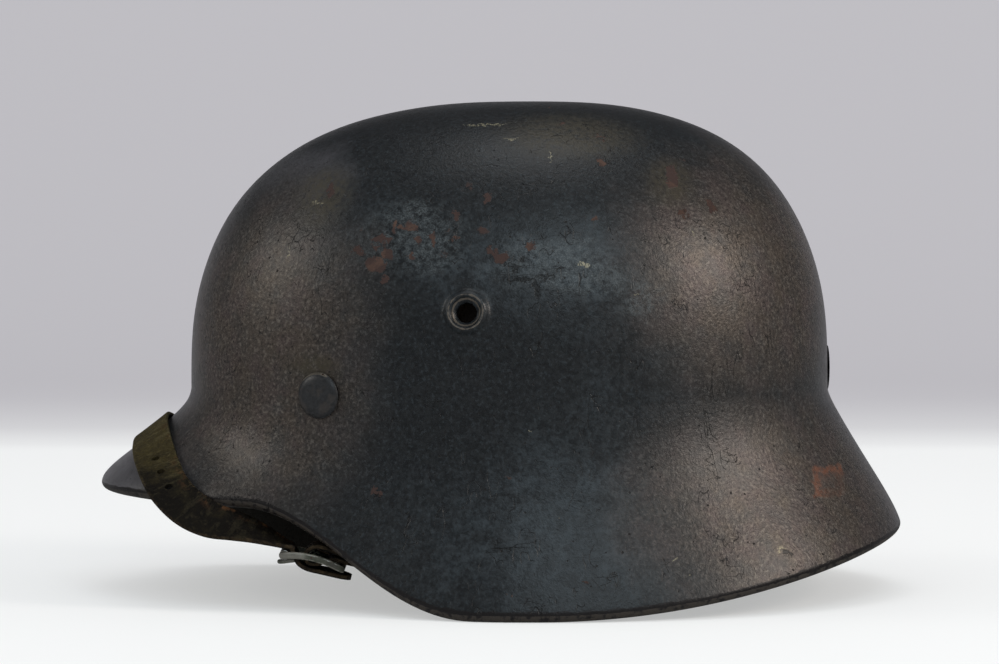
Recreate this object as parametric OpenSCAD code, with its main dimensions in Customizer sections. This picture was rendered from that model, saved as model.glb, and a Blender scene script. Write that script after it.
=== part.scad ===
// Pressed steel service helmet with a riveted leather liner and a buckled chinstrap.
// The frame: front towards -X, the wearer's left towards -Y, +Z up.
// The origin is under the middle of the shell, at the level that its rim stands on.

/* [Dome] */
// Height of the crown above the surface that the helmet stands on
crown_height = 170; // [150:0.5:190]
// Length of the dome from its highest point to the forehead wall
dome_front = 116.5; // [105:0.5:128]
// Length of the dome from its highest point to the back wall
dome_rear = 106; // [95:0.5:116]
// Half the width of the dome at its widest level
dome_half_width = 92; // [84:0.5:100]
// Height of the level where the dome's wall is upright
equator_height = 70; // [66:0.5:76]
// How square the dome's profile is towards the forehead
front_fullness = 2.7; // [2:0.05:3.2]
// How square the dome's profile is towards the back
rear_fullness = 2.6; // [2:0.05:3.2]
// How square the dome's profile is towards the ears
side_fullness = 2.3; // [2:0.05:3]
// How far the crown lies behind the middle of the dome's foot
crown_lean = 3; // [0:0.5:6]
// Thickness of the steel sheet
steel = 1.2; // [1:0.1:1.6]

/* [Rim] */
// Radius of the edge where the sheet is rolled inwards
roll_radius = 2.4; // [1.8:0.1:3]
// How far the visor's edge stands out from the forehead wall
visor_flare = 31.5; // [22:0.5:36]
// How far the visor's last part turns down, 0 for not at all
visor_lip = 0.9; // [0:0.1:0.9]
// How far the neck guard's last part turns down
neck_lip = 0.4; // [0:0.1:0.9]
// How far the rim stands out at the temples
temple_flare = 8; // [6:0.5:14]
// How far the skirt's edge stands out over the ears
ear_flare = 21; // [14:0.5:26]
// How far the neck guard's edge stands out from the back wall
neck_flare = 25.5; // [18:0.5:32]
// Height of the visor's underside at its sides
visor_lift = 33.5; // [26:0.5:40]
// How much higher the visor's middle is
visor_arch = 1.5; // [0:0.5:4]
// Height of the neck guard's underside at the middle of the back
neck_lift = 21; // [12:0.5:30]
// Height at which the visor turns out of the forehead wall
visor_waist = 66; // [56:0.5:67]
// Height at which the temple edge turns out of the wall
temple_waist = 45; // [40:0.5:52]
// Height at which the skirt turns out over the ears
ear_waist = 50; // [44:0.5:58]
// Height at which the neck guard turns out of the back wall
neck_waist = 69; // [60:0.5:70]

/* [Vents and pins] */
// Angle of the side vents, measured round from the back
vent_angle = 100; // [92:0.5:108]
// Height of the side vents
vent_height = 99.5; // [92:0.5:108]
// Diameter of the hole through each vent
vent_hole = 6; // [4:0.1:7]
// Diameter of the pressed boss round each vent
vent_boss = 16.4; // [15:0.1:19]
// Angle of the two side pins, measured round from the back
side_pin_angle = 126; // [120:0.5:130]
// Height of the two side pins, at the middle of the liner bands
pin_height = 71.5; // [70:0.5:74]
// Height of the rear pin, just above the bend of the neck guard
rear_pin_height = 77; // [76:0.5:78]
// Diameter of a pin's domed head
pin_head = 15.4; // [12:0.1:17]
// Rise of a side pin's dome
pin_dome = 1.5; // [0.8:0.1:2]
// Rise of the rear pin's flatter dome
rear_pin_dome = 0.4; // [0.3:0.1:1]
// Thickness of a side pin's head at its edge
pin_plate = 0.7; // [0.5:0.1:1]
// Thickness of the rear pin's head at its edge
rear_pin_plate = 0.4; // [0.3:0.1:0.7]
// Diameter of a pin's shank
pin_shank = 4.4; // [3.6:0.1:5]
// Length of each leg that is bent open behind the liner band
pin_leg = 12; // [8:0.5:14]

/* [Liner] */
// Height of the two liner bands
band_height = 20; // [18:0.5:22]
// Thickness of the outer band
outer_band_sheet = 0.8; // [0.6:0.1:1.2]
// Thickness of the inner band
inner_band_sheet = 0.8; // [0.6:0.1:1.2]
// Space between the shell and the outer band
shell_gap = 1.4; // [1.2:0.1:2]
// Space between the two bands, which the leaf springs hold open
spring_gap = 5; // [4.5:0.1:6.5]
// Thickness of the leaf springs
spring_sheet = 0.6; // [0.4:0.1:0.8]
// Thickness of the felt between the inner band and the leather
felt = 1.5; // [1:0.1:2.5]
// Thickness of the liner's leather
leather = 1.3; // [1:0.1:1.8]
// Height at which the leather parts into tongues
tongue_root = 88; // [86:0.5:94]
// Height of the top of the leather dome
liner_top = 145; // [136:0.5:150]
// Thickness of the cord that draws the tongues together
cord = 2.2; // [1.6:0.1:2.6]

/* [Chinstrap] */
// Width of the chinstrap
strap_width = 14.5; // [13:0.5:15.5]
// Thickness of the chinstrap's leather
strap_thick = 1.6; // [1.2:0.1:1.8]
// Diameter of the punched holes
strap_hole = 2.8; // [2:0.1:3.4]
// Distance between the punched holes
hole_pitch = 9.5; // [8:0.5:12]
// Angle of the two bails, measured round from the back
bail_angle = 97; // [93:0.5:101]
// Height of a bail from its hinge to the bar that carries the strap
bail_drop = 12; // [10:0.5:14]
// Thickness of a bail's bar
bail_bar = 2.2; // [1.8:0.1:2.4]

/* [Buckle] */
// Length of the buckle along the strap
buckle_length = 22.6; // [20:0.2:24]
// Width of the opening that the strap passes through
buckle_opening = 16.5; // [16:0.1:18]
// Thickness of the buckle's sheet and bars
buckle_bar = 2.2; // [1.8:0.1:2.6]
// Radius to which the buckle is bowed
buckle_bow = 32; // [28:1:60]
// Diameter of the roller on the buckle's front bar
roller_size = 3.4; // [3:0.1:4]
// Thickness of the roller's wall
roller_wall = 0.6; // [0.4:0.1:0.7]
// Diameter of the prong's wire
prong_wire = 1.6; // [1.2:0.1:1.8]
// How far the prong can lift from the frame
prong_lift = 18; // [8:1:20]

/* [Hidden] */
$fn = 48;

// Running clearance of moving metal parts
play = 0.08;
// Space left between pieces that lie on each other
seat = 0.2;
// Overlap that lets a cut pass a face
cut = 4;

// The shell's mesh: steps round it, and rings over dome and skirt
around_steps = 72;
dome_rings = 12;
skirt_rings = 10;
roll_steps = [40, 80, 120, 160, 200];
inner_dome_rings = 11;

// Angles of the rim's stations, measured round from the back
ear_station = 92;
temple_station = 124;
seat_rear = 88;
seat_front = 98;
notch_end = 138.5;

// Softness of the bend between wall and skirt at those stations
neck_bend = 3.5;
ear_bend = 24;
temple_bend = 20;
visor_bend = 4;

// The dome's highest point lies where the outline is centred on the origin
crown_x = (dome_front + visor_flare - dome_rear - neck_flare) / 2;
liner_x = crown_x + (dome_rear - dome_front) / 2;

// Insets of the liner's layers from the dome's outer face
outer_band_in = steel + shell_gap;
outer_band_face = outer_band_in + outer_band_sheet;
inner_band_in = outer_band_face + spring_gap;
inner_band_face = inner_band_in + inner_band_sheet;
felt_in = inner_band_face + seat;
leather_in = felt_in + felt + seat;
band_low = pin_height - band_height / 2;
band_high = pin_height + band_height / 2;

function unit(v) = v / norm(v);
function ease(a, b, t) = a + (b - a) * t * t * (3 - 2 * t);
function folded(a) = abs(a > 180 ? a - 360 : a);

// A value that eases through four stations: neck, ear, temple and visor
function station(a, neck, ear, temple, visor) =
    let (b = folded(a))
    b < ear_station ? ease(neck, ear, b / ear_station)
    : b < temple_station ? ease(ear, temple, (b - ear_station) / (temple_station - ear_station))
    : ease(temple, visor, (b - temple_station) / (180 - temple_station));

// Height of the rim's underside: level visor, drop to the seat, rise to the neck
function rim_height(a) =
    let (b = folded(a))
    b <= seat_rear ? neck_lift * pow(cos(90 * b / seat_rear), 2)
    : b <= seat_front ? 0
    : b < notch_end ? ease(0, visor_lift, (b - seat_front) / (notch_end - seat_front))
    : ease(visor_lift, visor_lift + visor_arch, (b - notch_end) / (180 - notch_end));

function flare(a) = station(a, neck_flare, ear_flare, temple_flare, visor_flare);
function waist(a) = station(a, neck_waist, ear_waist, temple_waist, visor_waist);
function bend(a) = station(a, neck_bend, ear_bend, temple_bend, visor_bend);
function lip(a) = station(a, neck_lip, 0, 0, visor_lip);

// The dome: an ellipse at each level, shrunk upwards by a superellipse
function shrink(s, n) = pow(max(0, 1 - pow(max(0, s), n)), 1 / n);
function dome_length(a) = cos(a) > 0 ? dome_rear : dome_front;
function dome_fullness(a) = cos(a) > 0 ? rear_fullness : front_fullness;
function dome_point(a, z) =
    let (s = (z - equator_height) / (crown_height - equator_height))
    [crown_x + crown_lean * pow(max(0, s), 2) + dome_length(a) * shrink(s, dome_fullness(a)) * cos(a),
     dome_half_width * shrink(s, side_fullness) * sin(a), z];
function plan_normal(a) = unit([cos(a) / dome_length(a), sin(a) / dome_half_width, 0]);
function plan_tangent(a) = let (n = plan_normal(a)) [-n.y, n.x, 0];
function plan_radius(a) =
    let (l = dome_length(a), w = dome_half_width)
    pow(pow(l * sin(a), 2) + pow(w * cos(a), 2), 1.5) / (l * w);
function inset_point(a, inset, z) =
    let (p = dome_point(a, equator_height) - inset * plan_normal(a)) [p.x, p.y, z];

// The skirt leaves the wall along a hyperbola, and the lip turns its last part down
function bow(v, c) = (v + sqrt(v * v + c * c)) / 2;
function bow_slope(v, c) = (1 + v / sqrt(v * v + c * c)) / 2;
function skirt_share(a, z, low) =
    let (w = waist(a), c = bend(a), base = bow(w - equator_height, c))
    let (share = (bow(w - z, c) - base) / (bow(w - low, c) - base))
    share + lip(a) * pow(share, 4) * (1 - share);
function rim_slope(a) =
    let (w = waist(a), c = bend(a), low = rim_height(a) + 1.5 * roll_radius)
    let (run = flare(a) * (1 - lip(a)) * bow_slope(w - low, c)
        / (bow(w - low, c) - bow(w - equator_height, c)))
    unit([run, -1]);
function edge_z(a) = rim_height(a) + roll_radius * (1 + rim_slope(a)[0]);
function edge_out(a) = flare(a) - roll_radius * (1 + rim_slope(a)[1]);
function skirt_point(a, u) =
    let (low = edge_z(a), z = equator_height + (low - equator_height) * u)
    let (out = edge_out(a) * skirt_share(a, z, low))
    inset_point(a, -out, z);

// The outer face: q runs from 0 at the crown over 1 at the equator to 2 at the rim
function outer_point(a, q) =
    q < 1 ? dome_point(a, equator_height + (crown_height - equator_height) * cos(90 * q))
    : skirt_point(a, q - 1);
function outer_normal(a, q) =
    let (round = outer_point(a + 1, q) - outer_point(a - 1, q))
    let (down = outer_point(a, q + 0.01) - outer_point(a, q - 0.01))
    unit(cross(down, round));
function inner_point(a, q) = outer_point(a, q) - steel * outer_normal(a, q);

// A point of the rolled edge, turned from the outer face through t degrees
function roll_point(a, t) =
    let (run = rim_slope(a)[0], fall = rim_slope(a)[1])
    let (out = roll_radius * (fall - fall * cos(t) + run * sin(t)))
    let (up = roll_radius * (-run + run * cos(t) + fall * sin(t)))
    skirt_point(a, 1) + out * plan_normal(a) + [0, 0, up];

// A closed mesh over rings of points, with a pole at each end
module ringed(first_pole, rings, last_pole) {
    n = len(rings[0]);
    last = len(rings) - 1;
    end = 1 + n * (last + 1);
    points = concat([first_pole], [for (ring = rings) each ring], [last_pole]);
    faces = concat(
        [for (i = [0:n - 1]) [0, 1 + i, 1 + (i + 1) % n]],
        [for (k = [0:last - 1], i = [0:n - 1]) let (a = 1 + k * n + i, b = 1 + k * n + (i + 1) % n)
            each [[a, a + n, b + n], [a, b + n, b]]],
        [for (i = [0:n - 1]) [end, end - n + (i + 1) % n, end - n + i]]
    );
    polyhedron(points, [for (f = faces) [f[0], f[2], f[1]]]);
}

module shell_sheet() {
    steps = [for (i = [0:around_steps - 1]) 360 * i / around_steps];
    rings = concat(
        [for (k = [1:dome_rings]) [for (a = steps) outer_point(a, k / dome_rings)]],
        [for (k = [1:skirt_rings]) [for (a = steps) outer_point(a, 1 + k / skirt_rings)]],
        [for (t = roll_steps) [for (a = steps) roll_point(a, t)]],
        [[for (a = steps) inner_point(a, 2 - 0.55 / skirt_rings)]],
        [for (k = [skirt_rings - 2:-2:2]) [for (a = steps) inner_point(a, 1 + k / skirt_rings)]],
        [for (k = [inner_dome_rings:-1:1]) [for (a = steps) inner_point(a, k / inner_dome_rings)]]
    );
    top = [crown_x + crown_lean, 0, crown_height];
    ringed(top, rings, top - [0, 0, steel]);
}

// Stands its children on a point, with their +Z along a direction
module along(point, direction) {
    d = unit(direction);
    translate(point) rotate([0, acos(d.z), atan2(d.y, d.x)]) children();
}

// Puts its children in three given axes at a point
module in_axes(origin, x, y, z) {
    multmatrix([[x.x, y.x, z.x, origin.x], [x.y, y.y, z.y, origin.y], [x.z, y.z, z.z, origin.z],
        [0, 0, 0, 1]]) children();
}

// The vents stand square to the wall
vent_q = acos((vent_height - equator_height) / (crown_height - equator_height)) / 90;
vent_rise = 2.3;
vent_lip = 0.7;
module on_vent(side) {
    along(outer_point(side * vent_angle, vent_q), outer_normal(side * vent_angle, vent_q))
        children();
}

// The pressed boss: a crater with a rounded crest, and a lip turned in behind the wall
module vent_boss_form() {
    crest = vent_boss / 2 - 2.6;
    rotate_extrude()
        polygon([[0, -steel - vent_lip], [vent_hole / 2 + 1.2, -steel - vent_lip],
            [vent_hole / 2 + 1.6, -steel / 2], [vent_boss / 2, -steel / 2],
            [vent_boss / 2, 0.15], [vent_boss / 2 - 0.7, 0.8], [crest + 0.8, vent_rise - 0.3],
            [crest, vent_rise], [crest - 0.8, vent_rise - 0.2], [0, vent_rise - 0.2]]);
}

module vent_cut() {
    mouth = vent_boss / 2 - 3.6;
    rotate_extrude()
        polygon([[0, -steel - cut], [vent_hole / 2, -steel - cut], [vent_hole / 2, 0.4],
            [mouth - 0.4, 1], [mouth, vent_rise - 0.6], [mouth + 0.5, vent_rise + 0.2],
            [mouth + 0.5, vent_rise + cut], [0, vent_rise + cut]]);
}

// The pins lie level, square to the wall
module on_pin(angle) {
    height = angle == 0 ? rear_pin_height : pin_height;
    along(inset_point(angle, 0, height), plan_normal(angle)) children();
}
pin_angles = [-side_pin_angle, side_pin_angle, 0];

module shell() color("#2f343a")
    difference() {
        union() {
            shell_sheet();
            for (side = [-1, 1]) on_vent(side) vent_boss_form();
        }
        for (side = [-1, 1]) on_vent(side) vent_cut();
        for (a = pin_angles)
            on_pin(a) cylinder(r = pin_shank / 2 + seat, h = 4 * cut, center = true);
    }

// A split pin: domed head outside, two legs bent open behind the outer band
module split_pin(angle, dome, plate) color("#33373b") {
    leg_sheet = 0.7;
    dome_r = (pow(pin_head / 2, 2) + pow(dome, 2)) / (2 * dome);
    tilt = atan(pin_leg / 2 / (plan_radius(angle) - outer_band_face)) + 1;
    root = outer_band_face + seat;
    on_pin(angle) {
        translate([0, 0, 2.5 * seat]) {
            cylinder(d = pin_head, h = plate);
            intersection() {
                translate([0, 0, plate / 2]) cylinder(d = pin_head, h = plate + dome);
                translate([0, 0, plate - 0.1 + dome - dome_r]) sphere(dome_r, $fn = 96);
            }
        }
        translate([0, 0, -root - leg_sheet]) cylinder(d = pin_shank, h = root + leg_sheet + 2.5 * seat + 0.3);
        for (side = [-1, 1])
            translate([0, 0, -root]) rotate([-side * tilt, 0, 0])
                translate([-2, side > 0 ? 0 : -pin_leg, -leg_sheet]) cube([4, pin_leg, leg_sheet]);
    }
}

// A band that follows the dome's wall between two insets
band_steps = 96;
module wall_band(inset, thickness, low, high) {
    steps = [for (i = [0:band_steps - 1]) 360 * i / band_steps];
    flat = function(d) [for (a = steps) let (p = inset_point(a, d, 0)) [p.x, p.y]];
    translate([0, 0, low]) linear_extrude(high - low) difference() {
        polygon(flat(inset));
        polygon(flat(inset + thickness));
    }
}

rivet_shank = 2;
spring_angles = [-152, 152, -48, 48];
spring_half = 16;
spring_level = pin_height + 4.5;
spring_height = 8;
clip_width = 18;
clip_sheet = 0.7;
clip_back = 0.5;
clip_rivet_level = pin_height - 1;

// Where a rivet stands: [angle, height, from inset, to inset]
function spring_step(angle) = spring_half / plan_radius(angle) * 180 / PI;
spring_rivets = [for (a = spring_angles, side = [-1, 1])
    [a + side * spring_step(a) * 0.8, spring_level,
        outer_band_in, outer_band_face + spring_sheet + 2 * seat]];
centre_rivets = [for (a = spring_angles)
    [a, spring_level, inner_band_in - spring_sheet - 2 * seat, inner_band_face]];
clip_rivets = [for (side = [-1, 1], shift = [-1, 1])
    [side * bail_angle + shift * 5.5 / plan_radius(bail_angle) * 180 / PI, clip_rivet_level,
        outer_band_in, outer_band_face + clip_back + clip_sheet]];

module rivet_holes(list) {
    for (r = list)
        along(inset_point(r[0], (r[2] + r[3]) / 2, r[1]), plan_normal(r[0]))
            cylinder(d = rivet_shank + 2 * seat, h = 3 * cut, center = true, $fn = 24);
}

module outer_band() color("#8f9296")
    difference() {
        wall_band(outer_band_in, outer_band_sheet, band_low, band_high);
        for (a = pin_angles)
            on_pin(a) cylinder(r = pin_shank / 2 + seat, h = 4 * cut, center = true);
        rivet_holes(spring_rivets);
        rivet_holes(clip_rivets);
    }

module inner_band() color("#8f9296")
    difference() {
        wall_band(inner_band_in, inner_band_sheet, band_low, band_high);
        rivet_holes(centre_rivets);
    }

// A bowed leaf: its ends lie on the outer band and its middle on the inner one
module leaf_spring(angle) color("#73777c") {
    near = outer_band_face + seat + spring_sheet / 2;
    far = inner_band_in - seat - spring_sheet / 2;
    shares = [for (i = [-8:8]) i / 8];
    line = function(shift) [for (t = shares)
        let (lift = ease(1, 0, min(1, max(0, (abs(t) - 0.15) / 0.45))))
        let (p = inset_point(angle + t * spring_step(angle), near + (far - near) * lift + shift, 0))
        [p.x, p.y]];
    back = line(spring_sheet / 2);
    difference() {
        translate([0, 0, spring_level - spring_height / 2]) linear_extrude(spring_height)
            polygon(concat(line(-spring_sheet / 2), [for (i = [len(back) - 1:-1:0]) back[i]]));
        rivet_holes(spring_rivets);
        rivet_holes(centre_rivets);
    }
}

// Each rivet is a shank with a low head at both ends
module liner_rivets() color("#9a9da1")
    for (r = concat(spring_rivets, centre_rivets, clip_rivets))
        along(inset_point(r[0], r[3] + seat, r[1]), plan_normal(r[0])) {
            grip = r[3] - r[2] + 2 * seat;
            translate([0, 0, -0.4]) cylinder(d = rivet_shank, h = grip + 0.8, $fn = 24);
            translate([0, 0, -0.5]) cylinder(d = rivet_shank + 1.4, h = 0.5, $fn = 24);
            translate([0, 0, grip]) cylinder(d = rivet_shank + 1.4, h = 0.5, $fn = 24);
        }

module felt_pad() color("#6d675a")
    difference() {
        wall_band(felt_in, felt, band_low + 1, band_high - 1);
        for (r = centre_rivets)
            along(inset_point(r[0], felt_in + felt / 2, r[1]), plan_normal(r[0]))
                cylinder(d = rivet_shank + 2.4, h = 2 * felt, center = true, $fn = 24);
    }

// The leather: a flap outside the inner band, a turn under it, the sweatband and eight tongues
tongues = 8;
tongue_steps = 6;
leather_columns = tongues * tongue_steps;
chord_room = 0.25;
flap_inset = inner_band_in - seat - chord_room - leather / 2;
sweat_inset = leather_in + leather / 2;
turn_r = (sweat_inset - flap_inset) / 2;
turn_z = band_low;
tongue_rise = [14, 27, 39, 50, 60, 68, 75];
leather_low_rows = concat(
    [[flap_inset, band_low + 9], [flap_inset, turn_z]],
    [for (t = [45, 90, 135]) [flap_inset + turn_r * (1 - cos(t)), turn_z - turn_r * sin(t)]],
    [[sweat_inset, turn_z], [sweat_inset, (turn_z + tongue_root) / 2], [sweat_inset, tongue_root]]
);
root_row = len(leather_low_rows) - 1;
last_row = root_row + len(tongue_rise);

// The leather dome over the head: rise is the angle up an ellipse from the sweatband
function leather_dome(a, rise) =
    let (p = inset_point(a, sweat_inset, 0), c = [liner_x, 0, 0])
    c + (p - c) * cos(rise) + [0, 0, tongue_root + (liner_top - tongue_root) * sin(rise)];
function tongue_half(row) =
    row <= root_row ? 18.75 : ease(17.6, 15, min(1, (row - root_row) / 3));
function column_angle(i, row) =
    let (part = i % tongue_steps, middle = 360 / tongues * floor(i / tongue_steps))
    middle + tongue_half(row) * (2 * part / (tongue_steps - 1) - 1);
function tip_drop(i, row) =
    row < last_row ? 0 : 5 * pow(abs(2 * (i % tongue_steps) / (tongue_steps - 1) - 1), 3);
function leather_mid(i, row) =
    let (c = (i + leather_columns) % leather_columns, r = max(0, min(last_row, row)))
    let (a = column_angle(c, r))
    r <= root_row ? inset_point(a, leather_low_rows[r][0], leather_low_rows[r][1])
    : leather_dome(a, tongue_rise[r - root_row - 1] - tip_drop(c, r));
function leather_face(i, row, side) =
    let (round = leather_mid(i + 1, row) - leather_mid(i - 1, row))
    let (up = leather_mid(i, row + 1) - leather_mid(i, row - 1))
    leather_mid(i, row) + side * leather / 2 * unit(cross(round, up));
function leather_here(i, row) =
    row >= 0 && row < last_row
    && (row < root_row || (i + leather_columns) % tongue_steps < tongue_steps - 1);

module leather_sheet() {
    n = leather_columns;
    rows = last_row + 1;
    at = function(i, row, side) (side > 0 ? 0 : n * rows) + row * n + (i + n) % n;
    quad = function(a, b, c, d) [[a, b, c], [a, c, d]];
    points = [for (side = [1, -1], row = [0:last_row], i = [0:n - 1]) leather_face(i, row, side)];
    faces = [for (row = [0:last_row - 1], i = [0:n - 1]) if (leather_here(i, row)) each concat(
        quad(at(i, row, 1), at(i, row + 1, 1), at(i + 1, row + 1, 1), at(i + 1, row, 1)),
        quad(at(i, row, -1), at(i + 1, row, -1), at(i + 1, row + 1, -1), at(i, row + 1, -1)),
        leather_here(i - 1, row) ? []
            : quad(at(i, row, 1), at(i, row, -1), at(i, row + 1, -1), at(i, row + 1, 1)),
        leather_here(i + 1, row) ? []
            : quad(at(i + 1, row, 1), at(i + 1, row + 1, 1), at(i + 1, row + 1, -1), at(i + 1, row, -1)),
        leather_here(i, row - 1) ? []
            : quad(at(i, row, 1), at(i + 1, row, 1), at(i + 1, row, -1), at(i, row, -1)),
        leather_here(i, row + 1) ? []
            : quad(at(i, row + 1, 1), at(i, row + 1, -1), at(i + 1, row + 1, -1), at(i + 1, row + 1, 1))
    )];
    polyhedron(points, faces);
}

// The cord dives through two holes in each tongue's tip
cord_rise = 69;
cord_wave = cord / 2 + leather / 2 + 0.5;
cord_steps = 96;
cord_sides = 6;
function cord_normal(a) =
    let (round = leather_dome(a + 1, cord_rise) - leather_dome(a - 1, cord_rise))
    let (up = leather_dome(a, cord_rise + 1) - leather_dome(a, cord_rise - 1))
    unit(cross(round, up));
// The weave is 1 outside a tongue's middle, 0 in its two holes and -1 between the tongues
hole_turn = 60 / tongues;
function weave(a) = let (c = cos(tongues * a)) c > 0.5 ? 2 * (c - 0.5) : max(-1, (c - 0.5) / 0.75);
function cord_point(a) = leather_dome(a, cord_rise) - cord_wave * weave(a) * cord_normal(a);

module leather_liner() color("#8a5a33")
    difference() {
        leather_sheet();
        for (i = [0:tongues - 1], side = [-1, 1]) {
            a = 360 * i / tongues + side * hole_turn;
            slant = unit(cord_point(a + 2) - cord_point(a - 2));
            along(leather_dome(a, cord_rise), slant)
                cylinder(d = cord + 2, h = 2 * cut, center = true, $fn = 24);
        }
    }

// A closed tube along a loop of points
module tube_loop(points, radius, sides) {
    n = len(points);
    ring = function(i)
        let (ahead = unit(points[(i + 1) % n] - points[(i + n - 1) % n]))
        let (across = unit(cross(ahead, [0, 0, 1])), up = cross(across, ahead))
        [for (k = [0:sides - 1]) points[i]
            + radius * (cos(360 * k / sides) * across + sin(360 * k / sides) * up)];
    polyhedron([for (i = [0:n - 1]) each ring(i)],
        [for (i = [0:n - 1], k = [0:sides - 1])
            let (a = i * sides + k, b = i * sides + (k + 1) % sides)
            let (c = ((i + 1) % n) * sides + (k + 1) % sides, d = ((i + 1) % n) * sides + k)
            each [[a, b, c], [a, c, d]]]);
}

module drawstring() color("#b8a98a")
    tube_loop([for (i = [0:cord_steps - 1]) cord_point(360 * (i + 0.5) / cord_steps)],
        cord / 2, cord_sides);

// The bail's clip is curled round its upper bar, below the leather's turned edge
hinge_r = bail_bar / 2;
curl_r = hinge_r + play + clip_sheet;
hinge_inset = outer_band_face + clip_back + curl_r;
hinge_z = band_low - 1.8 * curl_r;
function bail_frame_point(side) = inset_point(side * bail_angle, hinge_inset, hinge_z);

// Puts its children at a bail: X forwards along the band, Y out of the helmet, Z up
module at_bail(side) {
    n = plan_normal(side * bail_angle);
    t = -side * plan_tangent(side * bail_angle);
    in_axes(bail_frame_point(side), -t, n, [0, 0, 1]) children();
}

module bail_clip(side) color("#8f9296") {
    top = clip_rivet_level + 4 - hinge_z;
    difference() {
        at_bail(side) rotate([90, 0, 90]) linear_extrude(clip_width, center = true) difference() {
            union() {
                circle(curl_r);
                translate([curl_r - clip_sheet, 0]) square([clip_sheet, top]);
            }
            circle(hinge_r + play);
        }
        rivet_holes(clip_rivets);
    }
}

// The bail: a flat loop whose upper bar is round and turns in the clip
bail_inside = clip_width + 2;
module bail(side) color("#777b80") at_bail(side) {
    outside = bail_inside + 2 * bail_bar;
    rotate([0, 90, 0]) cylinder(r = hinge_r, h = bail_inside + bail_bar, center = true);
    rotate([90, 0, 0]) linear_extrude(bail_bar * 0.8, center = true) {
        for (end = [-1, 1]) translate([end * (bail_inside + bail_bar) / 2, -bail_drop / 2])
            square([bail_bar, bail_drop], center = true);
        for (end = [-1, 1], z = [0, -bail_drop])
            translate([end * (bail_inside + bail_bar) / 2, z]) circle(bail_bar / 2);
        translate([0, -bail_drop]) square([bail_inside + bail_bar, bail_bar], center = true);
    }
}

// The buckle's own axes: a runs forwards along the strap, h out of its outer side, which looks down
buckle_centre = [-62, -75, 18.3];
buckle_slope = 13.6;
buckle_ahead = [-cos(buckle_slope), 0, sin(buckle_slope)];
buckle_out = [-sin(buckle_slope), 0, -cos(buckle_slope)];
buckle_across = [0, 1, 0];
function on_buckle(a, h) = buckle_centre + a * buckle_ahead + h * buckle_out;
module at_buckle() in_axes(buckle_centre, buckle_ahead, buckle_across, buckle_out) children();

// The end bars lie further out than the middle bar, because the frame is bowed
function bowed(reach) = buckle_bow - sqrt(pow(buckle_bow, 2) - pow(reach, 2));
frame_reach = buckle_length / 2 - 0.3;
bar_reach = buckle_length / 2 - roller_size / 2;
bar_out = bowed(bar_reach);

module rounded(l, w, r) {
    square([l - 2 * r, w], center = true);
    square([l, w - 2 * r], center = true);
    for (x = [-1, 1], y = [-1, 1]) translate([x * (l / 2 - r), y * (w / 2 - r)]) circle(r);
}

// The frame: a bowed ring, open in front, with round bars across its front and middle
rod = roller_size - 2 * roller_wall - 2 * play;
module buckle_frame() color("#70756a") at_buckle() {
    width = buckle_opening + 2 * buckle_bar;
    intersection() {
        linear_extrude(4 * cut, center = true) difference() {
            rounded(2 * frame_reach, width, 3);
            rounded(2 * (frame_reach - buckle_bar), buckle_opening, 1.5);
            translate([buckle_length / 2, 0]) square([2 * roller_size + 1, buckle_opening], center = true);
        }
        translate([0, 0, buckle_bow]) rotate([90, 0, 0]) difference() {
            cylinder(r = buckle_bow + buckle_bar / 2, h = 2 * width, center = true, $fn = 96);
            cylinder(r = buckle_bow - buckle_bar / 2, h = 3 * width, center = true, $fn = 96);
        }
    }
    rotate([90, 0, 0]) cylinder(d = buckle_bar, h = buckle_opening + buckle_bar, center = true);
    translate([bar_reach, 0, bar_out]) rotate([90, 0, 0])
        cylinder(d = rod, h = buckle_opening + buckle_bar, center = true);
}

// The roller turns on the front bar, and the strap runs over it
module buckle_roller() color("#b9bcbb") at_buckle()
    translate([bar_reach, 0, bar_out]) rotate([90, 0, 0]) difference() {
        cylinder(d = roller_size, h = buckle_opening - 2 * seat, center = true);
        cylinder(d = rod + 2 * play, h = buckle_opening + cut, center = true);
    }

// The prong: a curled eye on the middle bar and a wire that rests on the roller
eye_wall = 0.8;
eye_r = buckle_bar / 2 + play + eye_wall;
eye_width = 3;
prong_root_h = eye_r - prong_wire / 2;
prong_tip_h = bar_out + roller_size / 2 + prong_wire / 2 + 2 * seat;
prong_rise = atan((prong_tip_h - prong_root_h) / bar_reach);
module prong_line() translate([0, 0, prong_root_h]) rotate([0, 90 - prong_rise, 0]) children();
module buckle_prong() color("#7d8176") at_buckle() {
    difference() {
        union() {
            rotate([90, 0, 0]) cylinder(r = eye_r, h = eye_width, center = true);
            prong_line() cylinder(d = prong_wire, h = bar_reach + 2);
        }
        rotate([90, 0, 0]) cylinder(r = buckle_bar / 2 + play, h = 2 * eye_width, center = true);
    }
}

// A curve through stations, each [point, direction of the width]
function spline(a, b, c, d, t) =
    0.5 * (2 * b + (c - a) * t + (2 * a - 5 * b + 4 * c - d) * t * t
        + (3 * b - a - 3 * c + d) * t * t * t);
function smooth(list, parts) =
    let (last = len(list) - 1)
    concat([for (i = [0:last - 1], k = [0:parts - 1])
        let (a = list[max(0, i - 1)], b = list[i], c = list[i + 1], d = list[min(last, i + 2)])
        [spline(a[0], b[0], c[0], d[0], k / parts), spline(a[1], b[1], c[1], d[1], k / parts)]],
        [list[last]]);

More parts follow.
